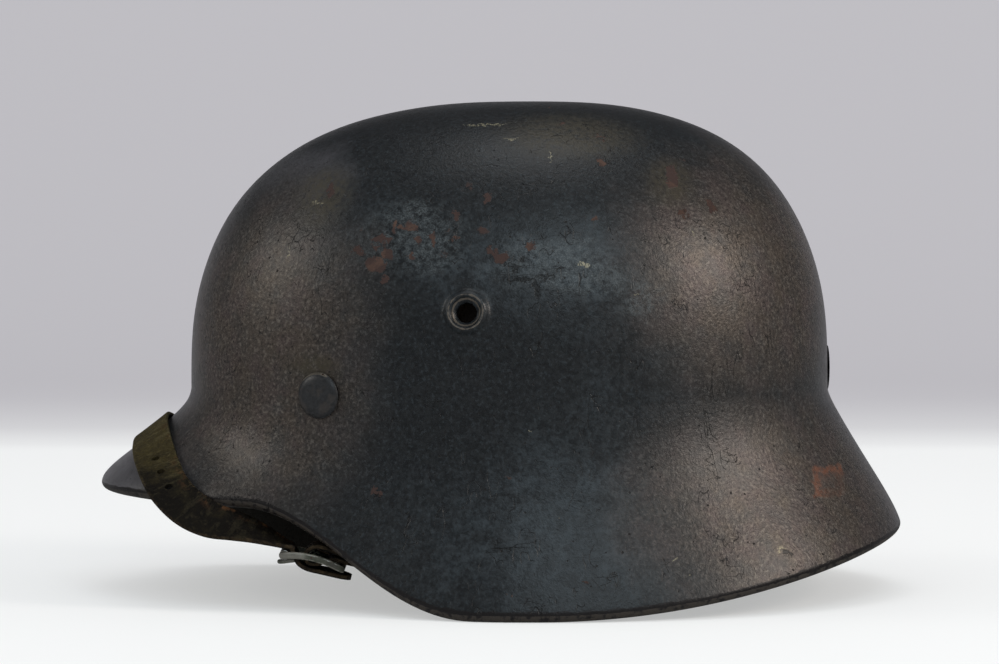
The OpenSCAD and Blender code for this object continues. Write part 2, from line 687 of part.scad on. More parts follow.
// A flat strap swept along such stations
module strap_sweep(list, width, thick) {
    last = len(list) - 1;
    corners = function(i)
        let (ahead = unit(list[min(last, i + 1)][0] - list[max(0, i - 1)][0]), w = list[i][1])
        let (side = unit(w - (w * ahead) * ahead), face = cross(ahead, side))
        [for (c = [[-1, -1], [1, -1], [1, 1], [-1, 1]])
            list[i][0] + c[0] * width / 2 * side + c[1] * thick / 2 * face];
    polyhedron([for (i = [0:last]) each corners(i)], concat(
        [[0, 1, 2], [0, 2, 3]],
        [for (i = [0:last - 1], k = [0:3]) let (a = 4 * i + k, b = 4 * i + (k + 1) % 4)
            each [[a, a + 4, b + 4], [a, b + 4, b]]],
        [[4 * last, 4 * last + 2, 4 * last + 1], [4 * last, 4 * last + 3, 4 * last + 2]]
    ));
}

// The strap's loop round a bail: up the outside, over the bar and down the inside
loop_r = bail_bar * 0.7 + seat + strap_thick / 2;
layer = strap_thick / 2 + seat / 2;
stud_drop = 10;
function bail_loop(side) =
    let (n = plan_normal(side * bail_angle), t = side * plan_tangent(side * bail_angle))
    let (c = bail_frame_point(side) - [0, 0, bail_drop])
    [for (p = [[layer, -stud_drop - 5], [layer, -stud_drop], [layer + 0.2, -5], [loop_r, 0],
        [loop_r * 0.7, loop_r * 0.7], [0, loop_r], [-loop_r * 0.7, loop_r * 0.7], [-loop_r, 0],
        [-layer - 0.2, -5], [-layer, -stud_drop], [-layer, -stud_drop - 5.5]])
        [c + p[0] * n + [0, 0, p[1]], t]];

// The short strap arches over the buckle's middle bar, turns round it and comes back underneath
fold_r = buckle_bar / 2 + play + seat + strap_thick / 2;
bar_layer = bowed(frame_reach - buckle_bar) - buckle_bar / 2 - seat - strap_thick / 2;
arch_layer = bar_layer - strap_thick - seat;
stud_back = -17;
short_end = 4;
// The slot for the prong in the short strap's fold: length, space beside the eye, height
fold_slot = [11, 1.2, 6.8];
short_fold = [for (p = [[-24, arch_layer + 0.3], [stud_back - 3, arch_layer], [stud_back, arch_layer],
    [-10.5, arch_layer], [-6, arch_layer - 0.7], [-2.6, arch_layer - 1.1], [0.6, arch_layer - 0.6],
    [2.5, -1.3], [fold_r + 0.3, 0.4], [1.9, 1.7], [0.2, fold_r + 0.1], [-1.9, 1.7], [-4.3, 0.3],
    [-7, bar_layer - 0.1], [-10.5, bar_layer], [stud_back, bar_layer],
    [stud_back - short_end, bar_layer]])
    [on_buckle(p[0], p[1]), buckle_across]];
short_route = concat(
    bail_loop(-1),
    [[[-11.5, -84.6, 26.5], [0.8, 0, -0.6]], [[-20, -82, 20.5], [0.6, 0.5, -0.6]],
     [[-28.5, -78.5, 17.5], [0.3, 0.9, -0.3]]],
    short_fold
);

module chinstrap_short() color("#3f3a24")
    difference() {
        strap_sweep(smooth(short_route, 2), strap_width, strap_thick);
        at_buckle() {
            translate([2.3, 0, 1.2])
                cube([fold_slot.x, eye_width + fold_slot.y, fold_slot.z], center = true);
            translate([stud_back, 0, arch_layer])
                cylinder(d = stud_shank + 2 * seat, h = 3 * cut, center = true, $fn = 24);
        }
        bail_stud_hole(-1);
    }

// The long strap: under the buckle's middle, over its roller, up the visor and back inside
hump = fold_r + strap_thick + 0.4;
tail_layer = bowed(frame_reach) + buckle_bar / 2 + seat + strap_thick / 2;
roller_layer = bar_out - roller_size / 2 - seat - strap_thick / 2;
long_tail = [for (p = [[-19.5, tail_layer + 0.1], [-15, tail_layer + 0.1], [-10.5, tail_layer + 0.1],
    [-5, hump], [0, hump + 0.1], [2.6, hump - 0.3], [4.6, 2.9], [6.2, 0.9], [8, roller_layer + 0.2],
    [bar_reach, roller_layer]])
    [on_buckle(p[0], p[1]), buckle_across]];
// The left run from the buckle to the visor's middle: points and directions of the upper edge
left_run = [
    [[-80, -74.5, 25.4], [0.07, 0.94, 0.32]],
    [[-88.5, -73, 27.8], [0.18, 0.83, 0.53]],
    [[-97, -71, 29.8], [0.39, 0.64, 0.66]],
    [[-105, -67.3, 33.8], [0.62, 0.5, 0.6]],
    [[-111.5, -59.5, 39.4], [0.8, 0.41, 0.44]],
    [[-115.8, -48.5, 45.3], [0.87, 0.35, 0.35]],
    [[-119.4, -32, 51.1], [0.82, 0.3, 0.48]],
    [[-121.5, -15.5, 55.1], [0.8, 0.12, 0.59]]
];
visor_middle = [[[-122.1, 0, 56.4], [0.79, 0, 0.61]]];
// The right run leaves the visor as the left one does, and goes up to its bail
right_inside = [
    [[-88, 72.5, 26], [0.15, -0.35, 0.92]],
    [[-78, 73, 23], [0.05, -0.1, 1]],
    [[-67, 73.4, 21.8], [0, 0, 1]],
    [[-55, 74.6, 22.2], [0.05, 0, 1]],
    [[-42, 77, 24], [0.25, 0, 0.97]],
    [[-30, 80.5, 25], [0.4, 0, 0.9]],
    [[-19.5, 83, 24.6], [0.6, 0, 0.8]],
    [[-10.5, 84.5, 26], [0.92, 0, 0.4]]
];
function mirrored(list) = [for (s = list) [[s[0].x, -s[0].y, s[0].z], [s[1].x, -s[1].y, s[1].z]]];
function reversed(list) = [for (i = [len(list) - 1:-1:0]) list[i]];
long_route = concat(
    long_tail, left_run, visor_middle,
    mirrored([for (i = [len(left_run) - 1:-1:2]) left_run[i]]),
    right_inside,
    reversed(bail_loop(1))
);
long_line = smooth(long_route, 2);

// The punched holes lie at even distances along the strap, ahead of the buckle
function lengths(list, i = 0, sum = 0) =
    i >= len(list) ? [] : concat([sum], lengths(list, i + 1,
        i + 1 < len(list) ? sum + norm(list[i + 1][0] - list[i][0]) : sum));
line_length = lengths(long_line);
first_hole = line_length[2 * (len(long_tail) - 1)] + 5 * hole_pitch;
hole_count = 3;
function hole_index(distance) = max([for (i = [0:len(line_length) - 2]) line_length[i] <= distance ? i : 0]);

module punched_hole(distance) {
    i = hole_index(distance);
    share = (distance - line_length[i]) / (line_length[i + 1] - line_length[i]);
    ahead = unit(long_line[i + 1][0] - long_line[i][0]);
    w = long_line[i][1];
    side = unit(w - (w * ahead) * ahead);
    along(long_line[i][0] + share * (long_line[i + 1][0] - long_line[i][0]), cross(ahead, side))
        cylinder(d = strap_hole, h = 2 * cut, center = true, $fn = 24);
}

module chinstrap_long() color("#3f3a24")
    difference() {
        strap_sweep(long_line, strap_width, strap_thick);
        for (k = [0:hole_count - 1]) punched_hole(first_hole + k * hole_pitch);
        at_buckle() for (lift = [0, 0.5, 1]) rotate([0, -lift * prong_lift, 0])
            prong_line() cylinder(d = prong_wire + 5 * seat, h = bar_reach + 3, $fn = 24);
        bail_stud_hole(1);
    }

// The studs that close the strap's folds: a shank with a domed head at each end
stud_shank = 3;
module stud(grip) {
    cylinder(d = stud_shank, h = grip + 1, center = true, $fn = 32);
    for (end = [0, 180]) rotate([end, 0, 0]) translate([0, 0, grip / 2]) {
        cylinder(d = 6.4, h = 0.6);
        translate([0, 0, 0.6]) cylinder(d1 = 6.4, d2 = 4, h = 0.6, $fn = 48);
    }
}
module bail_stud_place(side)
    at_bail(side) translate([0, 0, -bail_drop - stud_drop]) rotate([90, 0, 0]) children();
module bail_stud_hole(side)
    bail_stud_place(side) cylinder(d = stud_shank + 2 * seat, h = 3 * cut, center = true, $fn = 24);
stud_grip = 2 * strap_thick + 3 * seat;
module strap_stud(side) color("#6a6e70") bail_stud_place(side) stud(stud_grip);
module strap_stud_buckle() color("#6a6e70")
    at_buckle() translate([stud_back, 0, (arch_layer + bar_layer) / 2]) stud(stud_grip);

shell();
split_pin(-side_pin_angle, pin_dome, pin_plate);  // split_pin_left
split_pin(side_pin_angle, pin_dome, pin_plate);  // split_pin_right
split_pin(0, rear_pin_dome, rear_pin_plate);  // split_pin_rear
outer_band();
inner_band();
leaf_spring(spring_angles[0]);  // spring_front_left
leaf_spring(spring_angles[1]);  // spring_front_right
leaf_spring(spring_angles[2]);  // spring_rear_left
leaf_spring(spring_angles[3]);  // spring_rear_right
liner_rivets();
felt_pad();
leather_liner();
drawstring();
bail_clip(-1);  // bail_clip_left
bail_clip(1);  // bail_clip_right
bail(-1);  // bail_left
bail(1);  // bail_right
chinstrap_short();
chinstrap_long();
strap_stud(-1);  // strap_stud_left
strap_stud(1);  // strap_stud_right
strap_stud_buckle();
buckle_frame();
buckle_roller();
buckle_prong();
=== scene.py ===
"""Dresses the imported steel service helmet: its shell, liner, chinstrap and buckle.

Arrays hold millimetres and become metres when a mesh is made. The frame is the record's:
the front is -X, the wearer's left -Y, up +Z. Angles go round the helmet in degrees from the
back, positive towards the wearer's right.
"""

import logging
import math
from dataclasses import dataclass, field
from enum import Enum
from typing import Sequence

import bpy
import numpy as np
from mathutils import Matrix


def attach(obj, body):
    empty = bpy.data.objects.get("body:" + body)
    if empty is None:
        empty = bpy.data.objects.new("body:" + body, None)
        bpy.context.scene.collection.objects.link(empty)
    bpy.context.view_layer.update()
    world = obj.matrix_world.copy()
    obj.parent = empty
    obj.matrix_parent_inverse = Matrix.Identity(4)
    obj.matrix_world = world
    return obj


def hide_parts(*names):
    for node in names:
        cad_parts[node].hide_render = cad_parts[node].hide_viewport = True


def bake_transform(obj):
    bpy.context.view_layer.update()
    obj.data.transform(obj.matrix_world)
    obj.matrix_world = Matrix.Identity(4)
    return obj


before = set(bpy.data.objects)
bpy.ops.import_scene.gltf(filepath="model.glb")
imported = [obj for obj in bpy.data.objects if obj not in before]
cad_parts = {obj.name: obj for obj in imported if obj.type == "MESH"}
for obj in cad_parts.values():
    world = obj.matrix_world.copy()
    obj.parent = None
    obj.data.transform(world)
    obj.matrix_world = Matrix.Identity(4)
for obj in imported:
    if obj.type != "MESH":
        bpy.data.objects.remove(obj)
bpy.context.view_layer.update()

LOG = logging.getLogger("helmet")
Array = np.ndarray
METRE = 1000.0
UP = np.array([0.0, 0.0, 1.0])
SIDES = ((-1, "left"), (1, "right"))


def cosd(angle: Array | float) -> Array:
    """The cosine of an angle in degrees."""
    return np.cos(np.radians(angle))


def sind(angle: Array | float) -> Array:
    """The sine of an angle in degrees."""
    return np.sin(np.radians(angle))


def unit(vectors: Array) -> Array:
    """Each vector divided by its length."""
    return vectors / np.linalg.norm(vectors, axis=-1, keepdims=True)


def ease(start: Array | float, end: Array | float, share: Array) -> Array:
    """A value that goes from start to end as share goes from 0 to 1, level at both ends.

    The share t is clipped and becomes t * t * (3 - 2 * t).
    """
    t = np.clip(share, 0.0, 1.0)
    return start + (end - start) * t * t * (3.0 - 2.0 * t)


def spline(stations: Sequence[Sequence[float]], parts: int, closed: bool = False) -> Array:
    """A Catmull-Rom curve through the stations.

    Args:
        stations: The points, one row each, of any number of columns.
        parts: Steps between two stations.
        closed: Whether the curve returns to its first station.

    Returns:
        The curve's points, one row each.
    """
    p = np.asarray(stations, float)
    if closed:
        a, b, c, d = np.roll(p, 1, 0), p, np.roll(p, -1, 0), np.roll(p, -2, 0)
    else:
        q = np.vstack([p[:1], p, p[-1:]])
        a, b, c, d = q[:-3], q[1:-2], q[2:-1], q[3:]
    t = (np.arange(parts) / parts)[None, :, None]
    a, b, c, d = (v[:, None, :] for v in (a, b, c, d))
    curve = 0.5 * (2 * b + (c - a) * t + (2 * a - 5 * b + 4 * c - d) * t**2
                   + (3 * b - a - 3 * c + d) * t**3)
    curve = curve.reshape(-1, p.shape[1])
    return curve if closed else np.vstack([curve, p[-1:]])


def run_length(path: Array) -> Array:
    """The distance run along a path at each of its points."""
    return np.concatenate([[0.0], np.cumsum(np.linalg.norm(np.diff(path, axis=0), axis=1))])


@dataclass(frozen=True)
class Place:
    """A point with three axes, where a small piece is set."""

    origin: Array
    x: Array
    y: Array
    z: Array

    def points(self, x: Array | float, y: Array | float, z: Array | float) -> Array:
        """The helmet's points for coordinates along the place's own axes."""
        x, y, z = np.broadcast_arrays(x, y, z)
        return (self.origin + x[..., None] * self.x + y[..., None] * self.y + z[..., None] * self.z)

    def moved(self, x: float, y: float, z: float) -> "Place":
        """The same axes at another point, given along them."""
        return Place(self.points(x, y, z), self.x, self.y, self.z)


def facing(origin: Array, direction: Array) -> Place:
    """A place whose z axis is the direction, with x kept level where it can be."""
    z = unit(direction)
    level = np.array([1.0, 0.0, 0.0]) if abs(z[2]) > 0.99 else UP
    x = unit(np.cross(level, z))
    return Place(origin, x, np.cross(z, x), z)


class End(Enum):
    """How the first or last row of a grid is closed."""

    OPEN = 0
    FLAT = 1
    POLE = 2


@dataclass
class Part:
    """A stretch of mesh: points, quads with corner UVs, other faces, and marks per point."""

    points: Array
    quads: Array
    uv: Array
    others: list[list[int]] = field(default_factory=list)
    marks: dict[str, Array] = field(default_factory=dict)

    def volume(self) -> float:
        """Six times the volume inside the faces, negative where they point inwards."""
        p, q = self.points, self.quads
        total = sum(
            float(np.einsum("ij,ij->", p[q[:, 0]], np.cross(p[q[:, i]], p[q[:, i + 1]])))
            for i in (1, 2)
        )
        for face in self.others:
            a = p[face]
            total += float(np.einsum("j,ij->", a[0], np.cross(a[1:-1], a[2:])))
        return total

    def outwards(self) -> "Part":
        """The same part with its faces turned so that they point out of it."""
        if self.volume() < 0:
            self.quads = self.quads[:, ::-1]
            self.uv = self.uv[:, ::-1]
            self.others = [face[::-1] for face in self.others]
        return self


def grid(points: Array, closed_rows: bool = False, closed_columns: bool = True,
         ends: tuple[End, End] = (End.FLAT, End.FLAT),
         lengths: tuple[Array, Array] | None = None,
         marks: dict[str, Array] | None = None, keep: Array | None = None,
         solid: bool = True) -> Part:
    """A mesh over a grid of points.

    Args:
        points: The points, as rows by columns by 3.
        closed_rows: Whether the last row joins the first.
        closed_columns: Whether the last column joins the first.
        ends: How the first and the last row are closed where the rows don't join.
        lengths: UV values per row and per column, each one longer where it closes.
        marks: A value per point, as rows by columns, for each mark's name.
        keep: Which quads to keep, as rows by columns of the quads.
        solid: Whether the result is closed, so that its faces can be turned outwards.

    Returns:
        The part.
    """
    shape = points.shape[:2]
    marks = {name: np.broadcast_to(value, shape) for name, value in (marks or {}).items()}
    poles = []
    if ends[0] is End.POLE:
        poles.append((0, points[0, 0], {n: m[0, 0] for n, m in marks.items()}))
        points, marks = points[1:], {n: m[1:] for n, m in marks.items()}
        lengths = (lengths[0][1:], lengths[1]) if lengths else None
    if ends[1] is End.POLE:
        poles.append((-1, points[-1, 0], {n: m[-1, 0] for n, m in marks.items()}))
        points, marks = points[:-1], {n: m[:-1] for n, m in marks.items()}
    rows, columns = points.shape[:2]
    i, j = np.meshgrid(np.arange(rows if closed_rows else rows - 1),
                       np.arange(columns if closed_columns else columns - 1), indexing="ij")
    down, right = (i + 1) % rows, (j + 1) % columns
    quads = np.stack([i * columns + j, i * columns + right, down * columns + right,
                      down * columns + j], -1)
    if lengths is None:
        uv = np.zeros(quads.shape + (2,))
    else:
        v, u = np.asarray(lengths[0], float), np.asarray(lengths[1], float)
        uv = np.stack([np.stack([v[r], u[c]], -1)
                       for r, c in ((i, j), (i, j + 1), (i + 1, j + 1), (i + 1, j))], -2)
    quads, uv = (quads[keep], uv[keep]) if keep is not None else (
        quads.reshape(-1, 4), uv.reshape(-1, 4, 2))
    flat = points.reshape(-1, 3)
    values = {n: m.reshape(-1) for n, m in marks.items()}
    others: list[list[int]] = []
    ring = np.arange(columns)
    last = (rows - 1) * columns
    if not closed_rows and ends[0] is End.FLAT:
        others.append(ring[::-1].tolist())
    if not closed_rows and ends[1] is End.FLAT:
        others.append((last + ring).tolist())
    for at, pole, pole_marks in poles:
        tip, start = len(flat), 0 if at == 0 else last
        flat = np.vstack([flat, pole])
        values = {n: np.append(v, pole_marks[n]) for n, v in values.items()}
        pairs = np.stack([start + ring, start + (ring + 1) % columns], 1)
        fans = np.column_stack([pairs[:, ::-1] if at == 0 else pairs, np.full(columns, tip)])
        others += fans.tolist()
    part = Part(flat, quads, uv, others, values)
    return part.outwards() if solid else part


def rounded_box(width: float, height: float, radius: float, arc: int = 4) -> Array:
    """The outline of a box with round corners, anticlockwise.

    Each corner is a quarter circle round its own centre, so the outline is the four centres
    plus the radius times the cosine and sine of an angle that runs through a full turn.
    """
    radius = min(radius, width / 2 - 1e-4, height / 2 - 1e-4)
    turn = (np.arange(4)[:, None] * 90 + np.linspace(0, 90, arc + 1)[None, :]).ravel()
    sign = np.repeat(np.array([[1, 1], [-1, 1], [-1, -1], [1, -1]]), arc + 1, 0)
    centre = sign * np.array([width / 2 - radius, height / 2 - radius])
    return centre + radius * np.stack([cosd(turn), sind(turn)], 1)


def sweep(path: Array, side: Array, section: Array, closed: bool = False,
          scale: Array | None = None, marks: dict[str, Array] | None = None) -> Part:
    """Carries a section along a path.

    The section's first coordinate lies along the side vector, made square to the path, and
    its second along the cross product of the path's direction and that vector.

    Args:
        path: The path's points.
        side: One side vector, or one for each point.
        section: The section's outline.
        closed: Whether the path returns to its start.
        scale: Scale of the section's two coordinates at each point.
        marks: Values per column, for each mark's name.

    Returns:
        The part, with the run along the path and the first coordinate as UV, in millimetres.
    """
    if closed:
        ahead = unit(np.roll(path, -1, 0) - np.roll(path, 1, 0))
        run = run_length(np.vstack([path, path[:1]]))
    else:
        ahead = unit(np.gradient(path, axis=0))
        run = run_length(path)
    side = np.broadcast_to(side, path.shape)
    side = unit(side - np.sum(side * ahead, 1, keepdims=True) * ahead)
    face = np.cross(ahead, side)
    size = np.ones((len(path), 2)) if scale is None else scale
    x = section[None, :, 0] * size[:, 0:1]
    y = section[None, :, 1] * size[:, 1:2]
    points = path[:, None] + x[..., None] * side[:, None] + y[..., None] * face[:, None]
    across = np.append(section[:, 0], section[0, 0])
    return grid(points, closed_rows=closed, lengths=(run, across), marks=marks)


def revolve(profile: Array, place: Place, steps: int = 64, closed: bool = False,
            marks: dict[str, Array] | None = None) -> Part:
    """Turns a profile of radius and height round a place's z axis.

    Args:
        profile: The profile's points; an end of radius 0 becomes a pole.
        place: Where it is set.
        steps: Steps round the axis.
        closed: Whether the profile is a closed outline.
        marks: Values per profile point, for each mark's name.

    Returns:
        The part.
    """
    turn = np.arange(steps) * 360.0 / steps
    r, h = profile[:, 0:1], profile[:, 1:2]
    points = place.points(r * cosd(turn), r * sind(turn), h + 0 * turn)
    ends = tuple(End.POLE if abs(profile[k, 0]) < 1e-6 else End.FLAT for k in (0, -1))
    run = run_length(np.vstack([profile, profile[:1]]))
    columns = np.arange(steps + 1) * 360.0 / steps
    spread = {n: np.asarray(v).reshape(len(profile), -1) for n, v in (marks or {}).items()}
    return grid(points, closed_rows=closed, ends=ends, lengths=(run, columns), marks=spread)


def rod(start: Array, end: Array, radius: float, steps: int = 32, soften: float = 0.15) -> Part:
    """A round bar between two points, with softened ends."""
    length = float(np.linalg.norm(end - start))
    turn = np.linspace(0, 90, 4)
    r = np.concatenate([[0.0], radius - soften + soften * sind(turn)])
    h = np.concatenate([[0.0], soften - soften * cosd(turn)])
    profile = np.stack([np.concatenate([r, r[::-1]]), np.concatenate([h, length - h[::-1]])], 1)
    return revolve(profile, facing(start, end - start), steps)


def riveted(profile: Array, front: Place, back: Place, steps: int, wear: Array) -> list[Part]:
    """Two headed halves of a rivet, one at a place and one turned over at another.

    Args:
        profile: Half of the rivet, from the head's middle to the shank's middle.
        front: The place of the first half.
        back: The place of the second one, before it is turned over.
        steps: Steps round the rivet.
        wear: The mark "edge" on the head; the shank's three points have none.

    Returns:
        The two halves.
    """
    marks = {"edge": np.append(wear, [0, 0, 0])}
    flipped = Place(back.origin, back.x, -back.y, -back.z)
    return [revolve(profile, place, steps, marks=marks) for place in (front, flipped)]


class Graph:
    """Adds nodes to a node tree and links them; most methods return an output socket."""

    def __init__(self, tree: bpy.types.NodeTree) -> None:
        """Keeps the tree that the nodes go into."""
        self.tree = tree

    def node(self, kind: str, **settings: object) -> bpy.types.Node:
        """A new node with the given settings."""
        made = self.tree.nodes.new(kind)
        for name, value in settings.items():
            setattr(made, name, value)
        return made

    def feed(self, socket: bpy.types.NodeSocket, value: object) -> None:
        """Links a socket into another, or sets the other's own value."""
        if isinstance(value, bpy.types.NodeSocket):
            self.tree.links.new(value, socket)
        elif value is not None:
            socket.default_value = value

    def math(self, operation: str, a: object, b: object = None) -> object:
        """A math node's result."""
        made = self.node("ShaderNodeMath", operation=operation)
        self.feed(made.inputs[0], a)
        self.feed(made.inputs[1], b)
        return made.outputs[0]

    def times(self, a: object, b: object) -> object:
        """The product of two numbers."""
        return self.math("MULTIPLY", a, b)

    def plus(self, a: object, b: object) -> object:
        """The sum of two numbers."""
        return self.math("ADD", a, b)

    def minus(self, a: object, b: object) -> object:
        """The difference of two numbers."""
        return self.math("SUBTRACT", a, b)

    def axes(self, vector: object) -> object:
        """A vector's X, Y and Z."""
        split = self.node("ShaderNodeSeparateXYZ")
        self.feed(split.inputs[0], vector)
        return split.outputs

    def vector(self, operation: str, a: object, b: object = None) -> object:
        """A vector math node's result; the length of a vector comes from its Value."""
        made = self.node("ShaderNodeVectorMath", operation=operation)
        self.feed(made.inputs[0], a)
        if operation == "SCALE":
            self.feed(made.inputs["Scale"], b)
        else:
            self.feed(made.inputs[1], b)
        return made.outputs["Value" if operation == "LENGTH" else "Vector"]

    def clouds(self, where: object, size: float, detail: float, roughness: float,
               bend: float = 0.0) -> object:
        """A noise texture's outputs; its features are about size millimetres wide."""
        made = self.node("ShaderNodeTexNoise")
        for name, value in (("Vector", where), ("Scale", 1.0 / size), ("Detail", detail),
                            ("Roughness", roughness), ("Distortion", bend)):
            self.feed(made.inputs[name], value)
        return made.outputs

    def noise(self, where: object, size: float, detail: float = 4.0, roughness: float = 0.55,
              bend: float = 0.0) -> object:
        """Fractal noise from 0 to 1."""
        return self.clouds(where, size, detail, roughness, bend)["Fac"]

    def warped(self, where: object, size: float, reach: float, detail: float = 4.0) -> object:
        """A point pushed about by up to half of reach millimetres, over waves of size."""
        colour = self.clouds(where, size, detail, 0.62)["Color"]
        push = self.vector("SUBTRACT", colour, (0.5, 0.5, 0.5))
        return self.vector("ADD", where, self.vector("SCALE", push, reach))

    def cells(self, where: object, scale: object, feature: str = "F1") -> bpy.types.Node:
        """A Voronoi node, for its Distance and Color."""
        made = self.node("ShaderNodeTexVoronoi", feature=feature)
        self.feed(made.inputs["Vector"], where)
        self.feed(made.inputs["Scale"], scale)
        return made

    def fade(self, value: object, low: object, high: object,
             start: float = 0.0, end: float = 1.0) -> object:
        """A value eased from start at low to end at high."""
        made = self.node("ShaderNodeMapRange", interpolation_type="SMOOTHSTEP")
        for name, given in (("Value", value), ("From Min", low), ("From Max", high),
                            ("To Min", start), ("To Max", end)):
            self.feed(made.inputs[name], given)
        return made.outputs["Result"]

    def mix(self, share: object, a: object, b: object, mode: str = "MIX") -> object:
        """Two colours mixed by a share."""
        made = self.node("ShaderNodeMix", data_type="RGBA", blend_type=mode)
        self.feed(made.inputs[0], share)
        self.feed(made.inputs[6], (*a, 1.0) if isinstance(a, tuple) else a)
        self.feed(made.inputs[7], (*b, 1.0) if isinstance(b, tuple) else b)
        return made.outputs[2]

    def between(self, share: object, a: object, b: object) -> object:
        """Two numbers mixed by a share."""
        made = self.node("ShaderNodeMix", data_type="FLOAT")
        self.feed(made.inputs[0], share)
        self.feed(made.inputs[2], a)
        self.feed(made.inputs[3], b)
        return made.outputs[0]

    def most(self, values: Sequence[object]) -> object:
        """The largest of several numbers."""
        result = values[0]
        for value in values[1:]:
            result = self.math("MAXIMUM", result, value)
        return result

    def spots(self, spots: Sequence["Spot"], where: object) -> object:
        """1 inside any of several spots."""
        return self.most([spot.mask(self, where) for spot in spots])

    def mark(self, name: str) -> object:
        """A mark that the mesh carries on its points."""
        return self.node("ShaderNodeAttribute", attribute_name=name).outputs["Fac"]

    def place(self) -> object:
        """The point on the piece in millimetres."""
        point = self.node("ShaderNodeTexCoord").outputs["Object"]
        return self.vector("SCALE", point, METRE)

    def run(self) -> object:
        """The piece's UV as X, the run, and Y, the place across, in millimetres."""
        return self.axes(self.node("ShaderNodeTexCoord").outputs["UV"])

    def effect(self, effect: "Effect", **values: object) -> object:
        """A shared effect's output, with values for its inputs."""
        made = self.node("ShaderNodeGroup", node_tree=effect.tree())
        for name, value in values.items():
            self.feed(made.inputs[name.replace("_", " ").title()], value)
        return made.outputs[0]

    def bump(self, height: object, depth: float, onto: object = None) -> object:
        """The normal over a height that spans depth millimetres."""
        made = self.node("ShaderNodeBump")
        made.inputs["Distance"].default_value = depth / METRE
        self.feed(made.inputs["Height"], height)
        self.feed(made.inputs["Normal"], onto)
        return made.outputs["Normal"]


class Effect(Enum):
    """Effects that several finishes share, each built once as a node group."""

    PATCH = "soft patch"
    SPECKS = "specks"
    SCRATCHES = "scratches"
    GRAIN = "grain"
    WEAR = "edge wear"

    def tree(self) -> bpy.types.NodeTree:
        """The node group, built on its first use."""
        kept = bpy.data.node_groups.get(self.value)
        if kept:
            return kept
        tree = bpy.data.node_groups.new(self.value, "ShaderNodeTree")
        build, sockets = {
            Effect.PATCH: (self._patch, [("Where", None), ("Centre", None), ("Reach", None),
                                         ("Soft", 0.3)]),
            Effect.SPECKS: (self._specks, [("Where", None), ("Size", 6.0), ("Share", 0.3),
                                           ("Radius", 0.1)]),
            Effect.SCRATCHES: (self._scratches, [("Where", None), ("Stretch", None),
                                                 ("Share", 0.4), ("Width", 0.02)]),
            Effect.GRAIN: (self._grain, [("Where", None), ("Size", 1.0)]),
            Effect.WEAR: (self._wear, [("Where", None), ("Edge", 0.0), ("Size", 4.0),
                                       ("Reach", 0.5)]),
        }[self]
        for name, default in sockets:
            kind = "NodeSocketVector" if default is None else "NodeSocketFloat"
            made = tree.interface.new_socket(name=name, in_out="INPUT", socket_type=kind)
            if default is not None:
                made.default_value = default
        tree.interface.new_socket(name="Value", in_out="OUTPUT", socket_type="NodeSocketFloat")
        graph = Graph(tree)
        result = build(graph, graph.node("NodeGroupInput").outputs)
        graph.feed(graph.node("NodeGroupOutput").inputs[0], result)
        return tree

    @staticmethod
    def _scaled_noise(graph: Graph, where: object, size: object, detail: float) -> object:
        """Noise whose size is an input: the point is divided by it first."""
        inverse = graph.math("DIVIDE", 1.0, size)
        return graph.noise(graph.vector("SCALE", where, inverse), 1.0, detail)

    def _patch(self, graph: Graph, given: object) -> object:
        """1 inside an ellipsoid round a centre, with a soft border."""
        away = graph.vector("DIVIDE", graph.vector("SUBTRACT", given["Where"], given["Centre"]),
                            given["Reach"])
        return graph.fade(graph.vector("LENGTH", away), graph.plus(1.0, given["Soft"]),
                          graph.minus(1.0, given["Soft"]))

    def _specks(self, graph: Graph, given: object) -> object:
        """Small spots: some of the cells of a Voronoi pattern, round their centres."""
        scale = graph.math("DIVIDE", 1.0, given["Size"])
        cells = graph.cells(given["Where"], scale)
        split = graph.node("ShaderNodeSeparateColor")
        graph.feed(split.inputs[0], cells.outputs["Color"])
        radius = graph.times(given["Radius"], graph.plus(0.4, split.outputs["Green"]))
        spot = graph.fade(cells.outputs["Distance"], radius, graph.times(radius, 0.6))
        chosen = graph.math("LESS_THAN", split.outputs["Red"], given["Share"])
        return graph.times(spot, chosen)

    def _scratches(self, graph: Graph, given: object) -> object:
        """Thin lines where stretched noise passes through its middle value."""
        stretched = graph.vector("MULTIPLY", given["Where"], given["Stretch"])
        line = graph.noise(stretched, 1.0, 1.0)
        line = graph.math("ABSOLUTE", graph.minus(line, 0.5))
        line = graph.fade(line, given["Width"], 0.0)
        gate = graph.noise(given["Where"], 11.0, 2.0)
        gate = graph.fade(gate, given["Share"], graph.plus(given["Share"], 0.08))
        return graph.times(line, gate)

    def _grain(self, graph: Graph, given: object) -> object:
        """Fine leather grain: rounded cells with a little noise."""
        scale = graph.math("DIVIDE", 1.0, given["Size"])
        cells = graph.cells(given["Where"], scale, "SMOOTH_F1").outputs["Distance"]
        fine = self._scaled_noise(graph, given["Where"], given["Size"], 4.0)
        return graph.between(0.45, graph.fade(cells, 0.1, 0.7, 1.0, 0.0), fine)

    def _wear(self, graph: Graph, given: object) -> object:
        """1 where an edge mark and noise together pass a threshold."""
        noise = self._scaled_noise(graph, given["Where"], given["Size"], 6.0)
        total = graph.plus(given["Edge"], graph.minus(noise, 0.5))
        high = graph.plus(given["Reach"], 0.16)
        return graph.fade(total, given["Reach"], high)


Colour = tuple[float, float, float]
Point = tuple[float, float, float]


